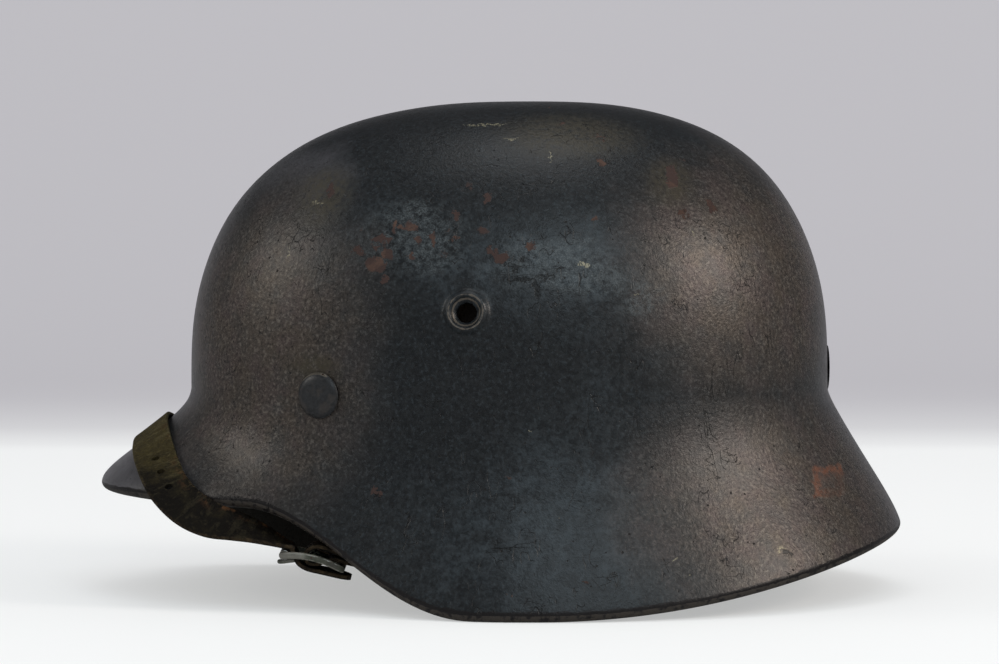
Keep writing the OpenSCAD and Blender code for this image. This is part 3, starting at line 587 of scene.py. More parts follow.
@dataclass(frozen=True)
class Look:
    """A finish: a material made of nodes, built once."""

    name: str

    def material(self) -> bpy.types.Material:
        """The material, built on its first use."""
        kept = bpy.data.materials.get(self.name)
        if kept:
            return kept
        made = bpy.data.materials.new(self.name)
        made.use_nodes = True
        made.node_tree.nodes.clear()
        graph = Graph(made.node_tree)
        shader = graph.node("ShaderNodeBsdfPrincipled")
        output = graph.node("ShaderNodeOutputMaterial")
        graph.feed(output.inputs["Surface"], shader.outputs[0])
        self.paint(graph, shader.inputs)
        return made

    def paint(self, graph: Graph, shader: object) -> None:
        """Feeds the shader's sockets; each finish has its own."""
        raise NotImplementedError


@dataclass(frozen=True)
class Spot:
    """A spot on a painted piece: an ellipsoid in warped space, for wear, rust, rubbing and marks,
    and on the shell also for painted reflections and sheen.
    """

    centre: Point
    reach: Point
    soft: float = 0.12

    def mask(self, graph: Graph, where: object) -> object:
        """The spot's mask in a material."""
        return graph.effect(Effect.PATCH, where=where, centre=self.centre, reach=self.reach,
                            soft=self.soft)


@dataclass(frozen=True)
class Patterns:
    """What the aged paint's layers share: places, noises of several sizes and marks."""

    where: object
    torn: object
    slow: object
    broad: object
    middle: object
    fine: object
    pebbled: object
    salt: object
    pepper: object
    rim: object
    edge: object
    inside: object
    outside: object

    @classmethod
    def over(cls, graph: Graph) -> "Patterns":
        """The patterns in one material."""
        where, inside = graph.place(), graph.mark("inside")
        shifted = graph.vector("ADD", where, (31.0, 17.0, 5.0))
        return cls(
            where=where, torn=graph.warped(where, 3.0, 6.5),
            slow=graph.warped(where, 26.0, 34.0, 3.0), broad=graph.noise(where, 36, 3),
            middle=graph.noise(where, 7.0, 4, 0.6),
            fine=graph.noise(where, 2.0, 5, 0.7), pebbled=graph.noise(where, 1.15, 3, 0.6),
            salt=graph.noise(where, 0.42, 2, 0.6), pepper=graph.noise(shifted, 0.55, 2, 0.6),
            rim=graph.mark("rim"), edge=graph.mark("edge"), inside=inside,
            outside=graph.minus(1.0, inside))


@dataclass(frozen=True)
class AgedPaint(Look):
    """Dark service paint, rubbed, rusted and scratched over bare steel, with painted highlights,
    reflections and shade in its colour.
    """

    deep: Colour = (0.0135, 0.0160, 0.0180)
    cool: Colour = (0.0300, 0.0400, 0.0470)
    # Brown film: rubbed paint, and partly a painted warm highlight.
    brown: Colour = (0.0640, 0.0500, 0.0400)
    worn: Colour = (0.2000, 0.1720, 0.1400)
    scuffed: Colour = (0.0800, 0.0960, 0.1000)
    greyed_and_sheen: Colour = (0.0640, 0.0620, 0.0670)
    stained: Colour = (0.0480, 0.0400, 0.0240)
    rust: Colour = (0.0380, 0.0185, 0.0145)
    # The roll: dark bare steel, darkened further as painted shade where it rests on the floor.
    rim: Colour = (0.0100, 0.0085, 0.0090)
    dust: Colour = (0.3300, 0.3000, 0.1900)
    darkest: Colour = (0.0055, 0.0066, 0.0078)
    mauve: Colour = (0.0600, 0.0430, 0.0440)
    sooty: Colour = (0.0085, 0.0080, 0.0080)
    pitted: Colour = (0.0080, 0.0065, 0.0060)
    cracked: Colour = (0.0050, 0.0046, 0.0046)
    rust_grain: Colour = (0.0420, 0.0200, 0.0150)
    rust_light: Colour = (0.0800, 0.0400, 0.0240)
    orange: Colour = (0.1500, 0.0580, 0.0320)
    patch_grey: Colour = (0.0640, 0.0580, 0.0520)
    patch_gap: Spot = Spot((113.8, -60, 39.2), (4.6, 40, 4.0), 0.5)
    # Rubbed spots lie where the lamps' warm highlights fell; their film is partly rubbed paint and
    # partly a painted highlight.
    rubbed: tuple[Spot, ...] = (
        Spot((-82, -58, 84), (34, 60, 46), 0.6), Spot((84, -62, 112), (38, 60, 36), 0.6),
        Spot((96, -70, 34), (48, 60, 30), 0.6), Spot((98, 60, 60), (40, 60, 70), 0.6),
        Spot((-80, 60, 88), (40, 60, 50), 0.6),
    )
    # Painted reflections: spots of cool blue-grey where a cool reflection lay.
    cool_reflection_spots: tuple[Spot, ...] = (
        Spot((20, -86, 114), (44, 40, 16), 0.6), Spot((30, -98, 30), (58, 30, 24), 0.6),
        Spot((10, 88, 100), (60, 40, 40), 0.6),
    )
    # A lighter grey on the visor that is a painted sheen, and a greyer spot high on the left.
    grey_and_sheen_spots: tuple[Spot, ...] = (
        Spot((-134, -24, 44), (26, 76, 15), 0.3), Spot((-80, -54, 150), (26, 30, 14), 0.6),
    )
    stains: tuple[Spot, ...] = (
        Spot((-62.5, -76, 81.0), (9, 14, 3.6), 0.5), Spot((57, -60, 143), (7, 14, 8), 0.6),
        Spot((-60, -52, 138), (9, 14, 10), 0.6), Spot((24, -48, 158), (20, 20, 8), 0.6),
    )
    scuffs: tuple[Spot, ...] = (
        Spot((19, -85, 114), (19, 14, 9), 0.6), Spot((-30, -76, 124), (17, 14, 10), 0.6),
        Spot((44, -82, 104), (10, 14, 6), 0.6), Spot((66, 74, 90), (20, 14, 14), 0.6),
        Spot((-50, 78, 40), (16, 14, 10), 0.6), Spot((126, 10, 50), (14, 18, 12), 0.6),
    )
    flaked: tuple[Spot, ...] = (
        Spot((-34, -74, 123), (19, 14, 10.5), 0.5), Spot((-6, -76, 131), (14, 14, 9), 0.5),
        Spot((28, -46, 160), (20, 20, 9), 0.5), Spot((60, 78, 108), (20, 14, 14), 0.5),
        Spot((-60, 20, 150), (18, 18, 12), 0.5), Spot((104, 44, 84), (14, 20, 12), 0.5),
    )
    rusted: tuple[Spot, ...] = (
        Spot((-41.4, -76, 115.0), (3.3, 9, 3.1)), Spot((-37.4, -76, 118.6), (1.7, 9, 2.2)),
        Spot((-41.6, -75, 120.6), (1.3, 9, 1.2)), Spot((-39.5, -73, 123.6), (3.9, 9, 0.9)),
        Spot((-47.6, -74, 119.5), (1.8, 9, 1.6)), Spot((-35.1, -72, 127.4), (0.8, 9, 2.4)),
        Spot((-30.2, -74, 127.4), (3.6, 9, 1.3)), Spot((-27.2, -75, 123.2), (1.3, 9, 1.1)),
        Spot((-22.4, -77, 122.8), (0.8, 9, 2.1)), Spot((-14.9, -79, 123.4), (1.5, 9, 0.8)),
        Spot((-14.9, -75, 131.4), (1.3, 9, 1.5)), Spot((-38.0, -79, 110.3), (1.5, 9, 1.1)),
        Spot((-3.0, -82, 119.8), (1.4, 9, 1.4)), Spot((0.0, -83, 117.6), (2.5, 9, 2.1)),
        Spot((9.7, -82, 121.3), (1.3, 9, 1.5)), Spot((57.4, -56, 143.9), (1.6, 9, 4.4)),
        Spot((33.2, -61, 148.5), (1.0, 9, 1.1)), Spot((70.6, -57, 133.9), (1.7, 9, 2.6)),
        Spot((60.8, -62, 132.0), (1.6, 9, 1.2)), Spot((-4.8, -73, 136.9), (1.2, 9, 1.2)),
        Spot((-57.5, -52, 139.3), (1.0, 9, 3.0)), Spot((98.0, -54, 112.0), (0.7, 9, 3.4)),
        Spot((-41.2, -87, 40.3), (1.8, 9, 0.9)), Spot((27.5, -100, 12.5), (2.6, 9, 0.8)),
    )
    cracks: tuple[Spot, ...] = (
        Spot((6.8, -87, 110.6), (4.6, 9, 0.6), 0.3), Spot((14.6, -86, 111.0), (3.0, 9, 0.6), 0.3),
        Spot((11.6, -87, 107.4), (1.0, 9, 3.2), 0.3), Spot((4.9, -86, 113.8), (1.4, 9, 1.2), 0.3),
        Spot((7.5, -86, 116.4), (1.2, 9, 1.0), 0.3), Spot((95.2, -80, 20.0), (1.3, 9, 0.9)),
    )
    marks: tuple[Spot, ...] = (
        Spot((-5.0, -42, 161.6), (8, 12, 0.22)), Spot((3.0, -52, 156.6), (3.0, 12, 0.22)),
        Spot((16.2, -61, 150.5), (0.28, 9, 1.8)), Spot((-61.0, -54, 134.9), (2.0, 9, 0.22)),
        Spot((26.8, -84, 114.8), (1.8, 9, 0.8)), Spot((44.7, -82, 105.8), (1.2, 9, 0.24)),
        Spot((64.6, -66, 125.0), (0.5, 9, 0.6)), Spot((-71.0, -62, 118.0), (0.2, 9, 2.6)),
        Spot((56.5, -99, 19.5), (0.4, 9, 0.6)), Spot((61.4, -100, 13.9), (0.5, 9, 0.4)),
        Spot((93.0, -81, 21.5), (1.6, 9, 0.5)),
    )

    def paint(self, graph: Graph, shader: object) -> None:
        """Layers, from below: tones with painted reflections, rubbing with a painted highlight,
        pits, rust, patch, rim with painted shade, bare edge, lines, dust.
        """
        at = Patterns.over(graph)
        tone = self.coat(graph, at)
        # The rubbed film below is partly rubbed paint and partly a painted warm highlight.
        rubbed = graph.times(graph.spots(self.rubbed, at.slow), at.outside)
        film = graph.times(rubbed, graph.fade(at.middle, 0.28, 0.66, 0.45, 1.0))
        tone = self.rubbing_and_highlight(graph, at, tone, rubbed, film)
        pits = graph.effect(Effect.SPECKS, where=at.where, size=2.6, share=0.30, radius=0.15)
        pits = graph.times(pits, at.outside)
        tone = graph.mix(graph.times(pits, 0.7), tone, self.pitted)
        rusted = self.rusting(graph, at)
        tone = graph.mix(rusted, tone, self.rust_tone(graph, at))
        tone = graph.mix(at.outside, tone, self.orange_patch(graph, at, tone))
        # The roll is dark partly as bare steel and partly as painted shade where it rests on the
        # floor; less bare wear shows on it, which keeps that shade.
        rim = graph.effect(Effect.WEAR, where=at.where, edge=at.rim, size=5.0, reach=0.42)
        tone = graph.mix(rim, tone, self.rim)
        bare = graph.effect(Effect.WEAR, where=at.where, edge=at.edge, size=2.2, reach=0.62)
        tone = graph.mix(graph.times(bare, graph.between(at.rim, 0.62, 0.22)), tone, self.worn)
        lines = self.dark_lines(graph, at)
        tone = graph.mix(graph.times(graph.times(lines, at.outside), 0.85), tone, self.cracked)
        pale = graph.times(self.pale_marks(graph, at), at.outside)
        graph.feed(shader["Base Color"], graph.mix(graph.times(pale, 0.55), tone, self.dust))

        rough = graph.between(rubbed, graph.fade(at.fine, 0.3, 0.7, 0.32, 0.42), 0.38)
        rough = graph.between(graph.most([rusted, pits]), rough, 0.80)
        graph.feed(shader["Roughness"], graph.between(at.inside, rough, 0.62))
        metal = graph.times(graph.most([film, bare]), 0.40)
        graph.feed(shader["Metallic"], graph.times(metal, at.outside))
        skin = graph.between(0.5, graph.between(0.35, at.fine, at.pepper), at.pebbled)
        for height, weight in ((at.broad, 1.2), (rusted, 0.40), (pits, -0.30), (lines, -0.30)):
            skin = graph.plus(skin, graph.times(height, weight))
        graph.feed(shader["Normal"], graph.bump(skin, 0.26))

    def coat(self, graph: Graph, at: Patterns) -> object:
        """The paint's tone: deep and cool blue-greys, mottled. The cool spots are painted
        reflections and the lighter grey at the visor is a painted sheen.
        """
        # Cool blue-grey spots: painted reflections.
        cool = graph.times(graph.spots(self.cool_reflection_spots, at.slow), graph.fade(at.middle, 0.30, 0.66))
        cool = graph.most([cool, graph.fade(at.broad, 0.50, 0.74, 0.0, 0.45)])
        tone = graph.mix(cool, self.deep, self.cool)
        tone = graph.mix(graph.fade(at.fine, 0.62, 0.36, 0.0, 0.6), tone, self.darkest)
        tone = graph.mix(graph.fade(at.pebbled, 0.50, 0.72, 0.0, 0.5), tone, self.cool)
        # Lighter grey: a painted sheen on the visor and a greyer patch high on the left.
        greyed_and_sheen = graph.times(graph.spots(self.grey_and_sheen_spots, at.slow), at.outside)
        return graph.mix(greyed_and_sheen, tone, self.greyed_and_sheen)

    def rubbing_and_highlight(self, graph: Graph, at: Patterns, tone: object, rubbed: object,
                film: object) -> object:
        """A brown film with pale and dark grains, stains and scuffs over the tone. The film, its
        mauve and its pale grains are partly rubbed paint and partly a painted warm highlight.
        """
        tone = graph.mix(film, tone, self.brown)
        mauve = graph.fade(graph.noise(at.where, 13, 3), 0.44, 0.62, 0.0, 0.55)
        tone = graph.mix(graph.times(mauve, film), tone, self.mauve)
        bright = graph.most([graph.fade(at.salt, 0.56, 0.72), graph.fade(at.pebbled, 0.52, 0.66)])
        tone = graph.mix(graph.times(graph.times(bright, rubbed), 0.34), tone, self.worn)
        dark = graph.most([graph.fade(at.pepper, 0.44, 0.30), graph.fade(at.pebbled, 0.46, 0.34)])
        tone = graph.mix(graph.times(dark, graph.between(rubbed, 0.38, 0.56)), tone, self.sooty)
        stained = graph.times(graph.spots(self.stains, at.torn),
                              graph.fade(at.fine, 0.3, 0.6, 0.1, 0.7))
        tone = graph.mix(stained, tone, self.stained)
        scuffed = graph.times(graph.spots(self.scuffs, at.slow), graph.fade(at.fine, 0.36, 0.62))
        scuffed = graph.times(scuffed, graph.fade(at.salt, 0.40, 0.66, 0.15, 1.0))
        return graph.mix(graph.times(scuffed, 0.8), tone, self.scuffed)

    def rusting(self, graph: Graph, at: Patterns) -> object:
        """Where rust shows: flakes in some areas, sparse freckles and the spots by name."""
        flakes = graph.effect(Effect.SPECKS, where=at.torn, size=6.5, share=0.42, radius=0.26)
        flakes = graph.times(flakes, graph.spots(self.flaked, at.slow))
        freckles = graph.effect(Effect.SPECKS, where=at.torn, size=15.0, share=0.20, radius=0.075)
        freckles = graph.times(freckles, at.outside)
        rusted = graph.most([flakes, freckles, graph.spots(self.rusted, at.torn)])
        return graph.times(rusted, graph.fade(at.fine, 0.26, 0.40))

    def rust_tone(self, graph: Graph, at: Patterns) -> object:
        """The rust's colour, mottled from purple-brown to orange-brown."""
        tone = graph.mix(graph.fade(at.salt, 0.36, 0.64), self.rust, self.rust_grain)
        return graph.mix(graph.fade(at.middle, 0.50, 0.66, 0.0, 0.7), tone, self.rust_light)

    def dark_lines(self, graph: Graph, at: Patterns) -> object:
        """Scratches that run two ways, and the cracks by name."""
        ways = (((0.22, 0.22, 0.040), 0.53, 0.011), ((0.045, 0.26, 0.30), 0.57, 0.010))
        scratches = [graph.effect(Effect.SCRATCHES, where=at.where, stretch=stretch, share=share,
                                  width=width) for stretch, share, width in ways]
        return graph.most(scratches + [graph.spots(self.cracks, at.torn)])

    def orange_patch(self, graph: Graph, at: Patterns, tone: object) -> object:
        """A squarish orange-brown patch on the neck guard with a greyer middle.

        Its mask falls off with the larger of the two distances from its middle, along and up.
        """
        point = graph.axes(graph.vector("ADD", graph.vector("SCALE", at.where, 0.75),
                                        graph.vector("SCALE", at.torn, 0.25)))
        away = graph.most([
            graph.math("ABSOLUTE", graph.math("DIVIDE", graph.minus(point[axis], middle), reach))
            for axis, middle, reach in (("X", 110.6, 5.6), ("Z", 41.2, 5.0))])
        ragged = graph.minus(graph.noise(at.where, 4.0, 4, 0.65), 0.5)
        away = graph.plus(away, graph.times(ragged, 0.9))
        near_side = graph.math("LESS_THAN", point["Y"], 0.0)
        square = graph.times(graph.fade(away, 1.10, 0.84), near_side)
        missing = self.patch_gap.mask(graph, at.torn)
        square = graph.times(square, graph.between(missing, 1.0, 0.25))
        square = graph.times(square, graph.fade(at.fine, 0.32, 0.58, 0.15, 0.80))
        colour = graph.mix(graph.fade(away, 0.75, 0.30, 0.0, 0.75), self.orange, self.patch_grey)
        return graph.mix(square, tone, colour)

    def pale_marks(self, graph: Graph, at: Patterns) -> object:
        """Tiny pale chips, and fine broken marks near the crown and on the skirt."""
        chips = graph.effect(Effect.SPECKS, where=at.torn, size=9.0, share=0.15, radius=0.030)
        marks = graph.times(graph.spots(self.marks, at.torn), graph.fade(at.salt, 0.42, 0.52))
        return graph.most([chips, marks])


@dataclass(frozen=True)
class TrimPaint(Look):
    """Paint on a small steel piece, worn through where the mark "edge" is high."""

    tone: Colour = (0.017, 0.019, 0.021)
    under: Colour = (0.16, 0.13, 0.11)
    rough: float = 0.42
    reach: float = 0.55
    bright: tuple[Spot, ...] = ()
    film: Colour = (0.042, 0.034, 0.029)
    rust: Colour = (0.050, 0.022, 0.014)

    def paint(self, graph: Graph, shader: object) -> None:
        """Mottled paint, a brown film, worn edges and small rust pits."""
        where = graph.place()
        fine = graph.noise(where, 1.1, 5, 0.7)
        tone = graph.mix(graph.fade(fine, 0.3, 0.7), self.tone, tuple(0.55 * c for c in self.tone))
        film = graph.fade(graph.noise(where, 4.0, 4), 0.46, 0.66, 0.0, 0.5)
        tone = graph.mix(film, tone, self.film)
        worn = graph.effect(Effect.WEAR, where=where, edge=graph.mark("edge"), size=1.6,
                            reach=self.reach)
        if self.bright:
            broken = graph.fade(fine, 0.3, 0.6, 0.5, 1.0)
            worn = graph.most([worn, graph.times(graph.spots(self.bright, where), broken)])
        tone = graph.mix(worn, tone, self.under)
        pits = graph.effect(Effect.SPECKS, where=where, size=1.7, share=0.25, radius=0.2)
        tone = graph.mix(pits, tone, self.rust)
        graph.feed(shader["Base Color"], tone)
        graph.feed(shader["Metallic"], graph.times(worn, 0.8))
        rough = graph.between(worn, self.rough, 0.34)
        graph.feed(shader["Roughness"], graph.between(pits, rough, 0.8))
        graph.feed(shader["Normal"], graph.bump(graph.minus(fine, pits), 0.08))


@dataclass(frozen=True)
class DullSteel(Look):
    """Plain or blackened sheet steel with tarnish."""

    tone: Colour = (0.36, 0.36, 0.35)
    tarnish: Colour = (0.11, 0.085, 0.065)
    stain: float = 0.5
    low: float = 0.30
    high: float = 0.52
    rubbed: Colour = (0.42, 0.41, 0.39)

    def paint(self, graph: Graph, shader: object) -> None:
        """Metal with brown stains, fine scratches and uneven gloss."""
        where = graph.place()
        broad = graph.noise(where, 7.0, 5, 0.65)
        fine = graph.noise(where, 0.8, 4)
        lines = graph.effect(Effect.SCRATCHES, where=where, stretch=(0.12, 0.12, 2.5),
                             share=0.42, width=0.05)
        stain = graph.fade(broad, self.stain, self.stain + 0.16)
        tone = graph.mix(stain, self.tone, self.tarnish)
        tone = graph.mix(graph.times(lines, 0.3), tone, tuple(1.3 * c for c in self.tone))
        edge = graph.effect(Effect.WEAR, where=where, edge=graph.mark("edge"), size=1.5, reach=0.6)
        tone = graph.mix(edge, tone, self.rubbed)
        graph.feed(shader["Base Color"], tone)
        graph.feed(shader["Metallic"], graph.between(stain, 1.0, 0.75))
        rough = graph.fade(fine, 0.3, 0.7, self.low, self.high)
        graph.feed(shader["Roughness"], graph.between(stain, rough, 0.68))
        height = graph.plus(fine, graph.times(stain, 0.5))
        graph.feed(shader["Normal"], graph.bump(height, 0.04))


@dataclass(frozen=True)
class StrapLeather(Look):
    """Old strap leather: suede-like olive near the visor, near-black lower down by the buckle."""

    dark_low: Colour = (0.0064, 0.0048, 0.0034)
    olive: Colour = (0.0480, 0.0370, 0.0120)
    pale: Colour = (0.1050, 0.0880, 0.0420)
    back: Colour = (0.0080, 0.0070, 0.0055)
    red: Colour = (0.0850, 0.0370, 0.0140)
    worn: Colour = (0.0420, 0.0270, 0.0130)
    hollow: Colour = (0.0050, 0.0042, 0.0030)
    half: float = 7.25
    low: float = 35.0
    top: float = 53.0

    def paint(self, graph: Graph, shader: object) -> None:
        """The UV gives the place along and across the strap; a mark picks out its back and its cut
        walls, where the dark back tone is painted shade.
        """
        where, uv, flesh = graph.place(), graph.run(), graph.mark("flesh")
        grain_side = graph.minus(1.0, flesh)
        high = graph.fade(graph.axes(where)["Z"], self.low, self.top)
        fibre = graph.noise(where, 0.62, 4, 0.72, 0.9)
        nap = graph.noise(where, 1.6, 4, 0.65)
        blot = graph.noise(where, 6.5, 5, 0.65)
        creases = self.creases(graph, uv, blot)

        share = graph.plus(graph.times(high, 0.75), graph.times(graph.minus(blot, 0.5), 1.3))
        tone = graph.mix(graph.fade(share, 0.0, 0.85), self.dark_low, self.olive)
        tone = graph.mix(graph.times(creases, graph.between(high, 0.10, 0.30)), tone, self.pale)
        reddish = graph.fade(graph.noise(where, 5.0, 4, 0.6), 0.46, 0.62)
        reddish = graph.times(reddish, graph.between(high, 0.9, 0.25))
        upper_edge = graph.fade(uv["Y"], 0.30 * self.half, 0.95 * self.half)
        tone = graph.mix(graph.times(reddish, upper_edge), tone, self.red)
        # The dark back tone; on the cut walls it is painted shade.
        tone = graph.mix(flesh, tone, self.back)
        from_middle = graph.math("DIVIDE", graph.math("ABSOLUTE", uv["Y"]), self.half)
        rubbed = graph.plus(from_middle, graph.times(graph.minus(nap, 0.5), 0.5))
        rubbed = graph.times(graph.fade(rubbed, 0.90, 1.04), graph.times(grain_side, 0.7))
        tone = graph.mix(rubbed, tone, graph.mix(high, self.worn, self.pale))
        tone = graph.mix(graph.fade(fibre, 0.56, 0.34, 0.0, 0.75), tone, self.hollow)
        lit = graph.times(graph.fade(nap, 0.54, 0.74, 0.0, 0.45), grain_side)
        tone = graph.mix(graph.times(lit, graph.between(high, 0.3, 1.0)), tone, self.pale)
        graph.feed(shader["Base Color"], tone)
        low_rough = graph.fade(blot, 0.35, 0.65, 0.60, 0.80)
        graph.feed(shader["Roughness"], graph.between(high, low_rough, 0.95))
        height = graph.times(fibre, 0.5)
        for part, weight in ((nap, 0.6), (creases, -0.5), (blot, 1.4)):
            height = graph.plus(height, graph.times(part, weight))
        graph.feed(shader["Normal"], graph.bump(height, 0.42))
        shader["Specular IOR Level"].default_value = 0.12

    def creases(self, graph: Graph, uv: object, blot: object) -> object:
        """Short creases across the strap: noise that is stretched over its width."""
        point = graph.node("ShaderNodeCombineXYZ")
        for socket, value, scale in zip(point.inputs, (uv["X"], uv["Y"], blot), (0.30, 0.07, 1.2)):
            graph.feed(socket, graph.times(value, scale))
        return graph.fade(graph.noise(point.outputs[0], 1.0, 4, 0.6), 0.53, 0.60)


@dataclass(frozen=True)
class LinerLeather(Look):
    """Thin brown liner leather, darker where a head has rubbed it."""

    tone: Colour = (0.235, 0.118, 0.052)
    dark: Colour = (0.085, 0.040, 0.019)
    pale: Colour = (0.330, 0.200, 0.105)
    pore: Colour = (0.050, 0.024, 0.012)
    unlit: Colour = (0.012, 0.009, 0.007)

    def paint(self, graph: Graph, shader: object) -> None:
        """Blotched brown with pores, fine wrinkles and a sweat-darkened band."""
        where = graph.place()
        blot = graph.noise(where, 17.0, 5, 0.6)
        fine = graph.noise(where, 1.2, 5, 0.65)
        tone = graph.mix(graph.fade(blot, 0.36, 0.66), self.tone, self.dark)
        tone = graph.mix(graph.fade(fine, 0.5, 0.8, 0.0, 0.5), tone, self.pale)
        sweat = graph.plus(graph.axes(where)["Z"], graph.times(blot, 26.0))
        tone = graph.mix(graph.fade(sweat, 96.0, 78.0, 0.0, 0.75), tone, self.dark)
        pores = graph.effect(Effect.SPECKS, where=where, size=1.5, share=0.75, radius=0.17)
        tone = graph.mix(graph.times(pores, 0.7), tone, self.pore)
        # The side that faces the shell is painted near-black as shade, so the vents look dark.
        tone = graph.mix(graph.times(graph.mark("hidden"), 0.9), tone, self.unlit)
        graph.feed(shader["Base Color"], tone)
        graph.feed(shader["Roughness"], graph.fade(blot, 0.3, 0.7, 0.60, 0.44))
        wrinkles = graph.noise(graph.vector("MULTIPLY", where, (1.0, 1.0, 0.45)), 5.0, 5, 0.6, 0.8)
        grain = graph.effect(Effect.GRAIN, where=where, size=0.9)
        height = graph.plus(graph.times(wrinkles, 2.4), graph.times(grain, 0.4))
        height = graph.minus(height, graph.times(pores, 0.5))
        graph.feed(shader["Normal"], graph.bump(height, 0.22))
        shader["Specular IOR Level"].default_value = 0.4


@dataclass(frozen=True)
class Fibre(Look):
    """Felt or cotton: matt fibres with a fine weave of light and dark."""

    tone: Colour = (0.20, 0.175, 0.135)
    dark: Colour = (0.10, 0.088, 0.068)
    size: float = 1.4
    depth: float = 0.25

    def paint(self, graph: Graph, shader: object) -> None:
        """Tangled noise for colour and height."""
        where = graph.place()
        tangle = graph.noise(where, self.size, 7, 0.75, 1.6)
        soiled = graph.noise(where, 14.0, 3)
        tone = graph.mix(graph.fade(tangle, 0.36, 0.66), self.dark, self.tone)
        tone = graph.mix(graph.fade(soiled, 0.5, 0.75, 0.0, 0.5), tone, self.dark)
        graph.feed(shader["Base Color"], tone)
        shader["Roughness"].default_value = 0.95
        shader["Sheen Weight"].default_value = 0.25
        shader["Sheen Roughness"].default_value = 0.5
        graph.feed(shader["Normal"], graph.bump(tangle, self.depth))


@dataclass(frozen=True)
class Ground(Look):
    """The plain pale floor and the greyer backdrop."""

    floor: Colour = (0.90, 0.91, 0.905)
    backdrop: Colour = (0.50, 0.490, 0.515)
    mirrored: float = 0.15
    glow: float = 0.48

    def paint(self, graph: Graph, shader: object) -> None:
        """A matt, plain cloth with light behind it; glossy rays find it dim, as the room was."""
        point = graph.axes(graph.place())
        tone = graph.mix(graph.fade(point["Y"], 640.0, 860.0), self.floor, self.backdrop)
        glossy = graph.node("ShaderNodeLightPath").outputs["Is Glossy Ray"]
        dim = graph.fade(point["Y"], 300.0, 900.0, self.mirrored, 0.8)
        aside = graph.math("ABSOLUTE", point["X"])
        near = graph.times(graph.fade(point["Z"], 280.0, 700.0, 1.0, 0.0),
                          graph.fade(aside, 600.0, 1200.0, 1.0, 0.15))
        dim = graph.between(near, self.mirrored * 0.6, dim)
        seen = graph.vector("SCALE", tone, graph.between(glossy, 1.0, dim))
        graph.feed(shader["Base Color"], graph.vector("SCALE", seen, 1.0 - self.glow))
        graph.feed(shader["Emission Color"], seen)
        shader["Emission Strength"].default_value = self.glow
        shader["Roughness"].default_value = 0.9
        shader["Specular IOR Level"].default_value = 0.1


SHELL_PAINT = AgedPaint("aged shell paint")
PIN_PAINT = TrimPaint("pin paint", (0.024, 0.025, 0.027), (0.20, 0.18, 0.15), 0.38, 0.40)
BUCKLE_PAINT = TrimPaint("buckle paint", (0.060, 0.068, 0.046), (0.34, 0.33, 0.29), 0.50, 0.48,
                         (Spot((-69.7, -84, 20), (4.5, 14, 4.5), 0.4),))
BAND_STEEL = DullSteel("liner band steel")
SPRING_STEEL = DullSteel("spring steel", (0.20, 0.205, 0.215), (0.09, 0.075, 0.06), 0.55)
RIVET_STEEL = DullSteel("rivet steel", (0.30, 0.29, 0.27), (0.10, 0.075, 0.055), 0.48, 0.32, 0.5)
BAIL_STEEL = DullSteel("blackened bail steel", (0.115, 0.115, 0.115), (0.065, 0.052, 0.042), 0.5,
                       0.34, 0.55)
ROLLER_STEEL = DullSteel("bright roller steel", (0.56, 0.55, 0.53), (0.22, 0.18, 0.14), 0.60,
                         0.22, 0.36)
STRAP_LEATHER = StrapLeather("strap leather")
LINER_LEATHER = LinerLeather("liner leather")
FELT = Fibre("liner felt")
CORD = Fibre("cotton cord", (0.46, 0.40, 0.30), (0.26, 0.215, 0.15), 0.5, 0.10)
GROUND = Ground("pale ground")


def make_piece(name: str, parts: Sequence[Part], look: Look, body: str | None,
               nodes: Sequence[str] = (),
               sharp: float = 38.0) -> bpy.types.Object:
    """Makes one object from parts, dresses it and ties it to its CAD body.

    Args:
        name: The object's name.
        parts: Its parts, in millimetres.
        look: Its finish.
        body: The CAD body that it moves with; None for a cutter or a later choice.
        nodes: The CAD nodes that it replaces.
        sharp: Edges that turn by more degrees than this are shaded sharp.

    Returns:
        The object.
    """
    starts = np.cumsum([0] + [len(p.points) for p in parts])
    points = np.concatenate([p.points for p in parts]) / METRE
    faces: list[list[int]] = []
    corner_uv: list[Array] = []
    for part, start in zip(parts, starts):
        faces += (part.quads + start).tolist()
        corner_uv.append(part.uv.reshape(-1, 2))
        faces += [[start + v for v in face] for face in part.others]
        corner_uv.append(np.zeros((sum(len(face) for face in part.others), 2)))
    mesh = bpy.data.meshes.new(name)
    mesh.from_pydata(points.tolist(), [], faces)
    layer = mesh.uv_layers.new(name="UVMap")
    layer.data.foreach_set("uv", np.concatenate(corner_uv).astype(np.float32).ravel())
    for mark in sorted({m for p in parts for m in p.marks}):
        values = np.concatenate([p.marks.get(mark, np.zeros(len(p.points))) for p in parts])
        made = mesh.attributes.new(mark, "FLOAT", "POINT")
        made.data.foreach_set("value", values.astype(np.float32))
    obj = bpy.data.objects.new(name, mesh)
    bpy.context.scene.collection.objects.link(obj)
    mesh.materials.append(look.material())
    shade(obj, sharp)
    if body:
        tie(obj, body, nodes)
    return obj


def dress(node: str, parts: Sequence[Part], look: Look, body: str = "helmet",
          sharp: float = 38.0) -> bpy.types.Object:
    """Makes the piece that takes the place of one CAD node.

    Args:
        node: The node's name.
        parts: The piece's parts, in millimetres.
        look: Its finish.
        body: The CAD body that carries the node.
        sharp: Edges that turn by more degrees than this are shaded sharp.

    Returns:
        The object.
    """
    return make_piece(f"{node}_form", parts, look, body, [node], sharp)


def shade(obj: bpy.types.Object, sharp: float) -> None:
    """Shades an object smooth, with sharp edges where it turns by more degrees than sharp."""
    obj.data.shade_smooth()
    obj.data.set_sharp_from_angle(angle=math.radians(sharp))


def tie(obj: bpy.types.Object, body: str, nodes: Sequence[str]) -> None:
    """Ties a finished object to its CAD body, hides the nodes that it replaces, and reports it."""
    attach(obj, body)
    if nodes:
        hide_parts(*nodes)
    LOG.info("%s: %d faces on %s", obj.name, len(obj.data.polygons), body)


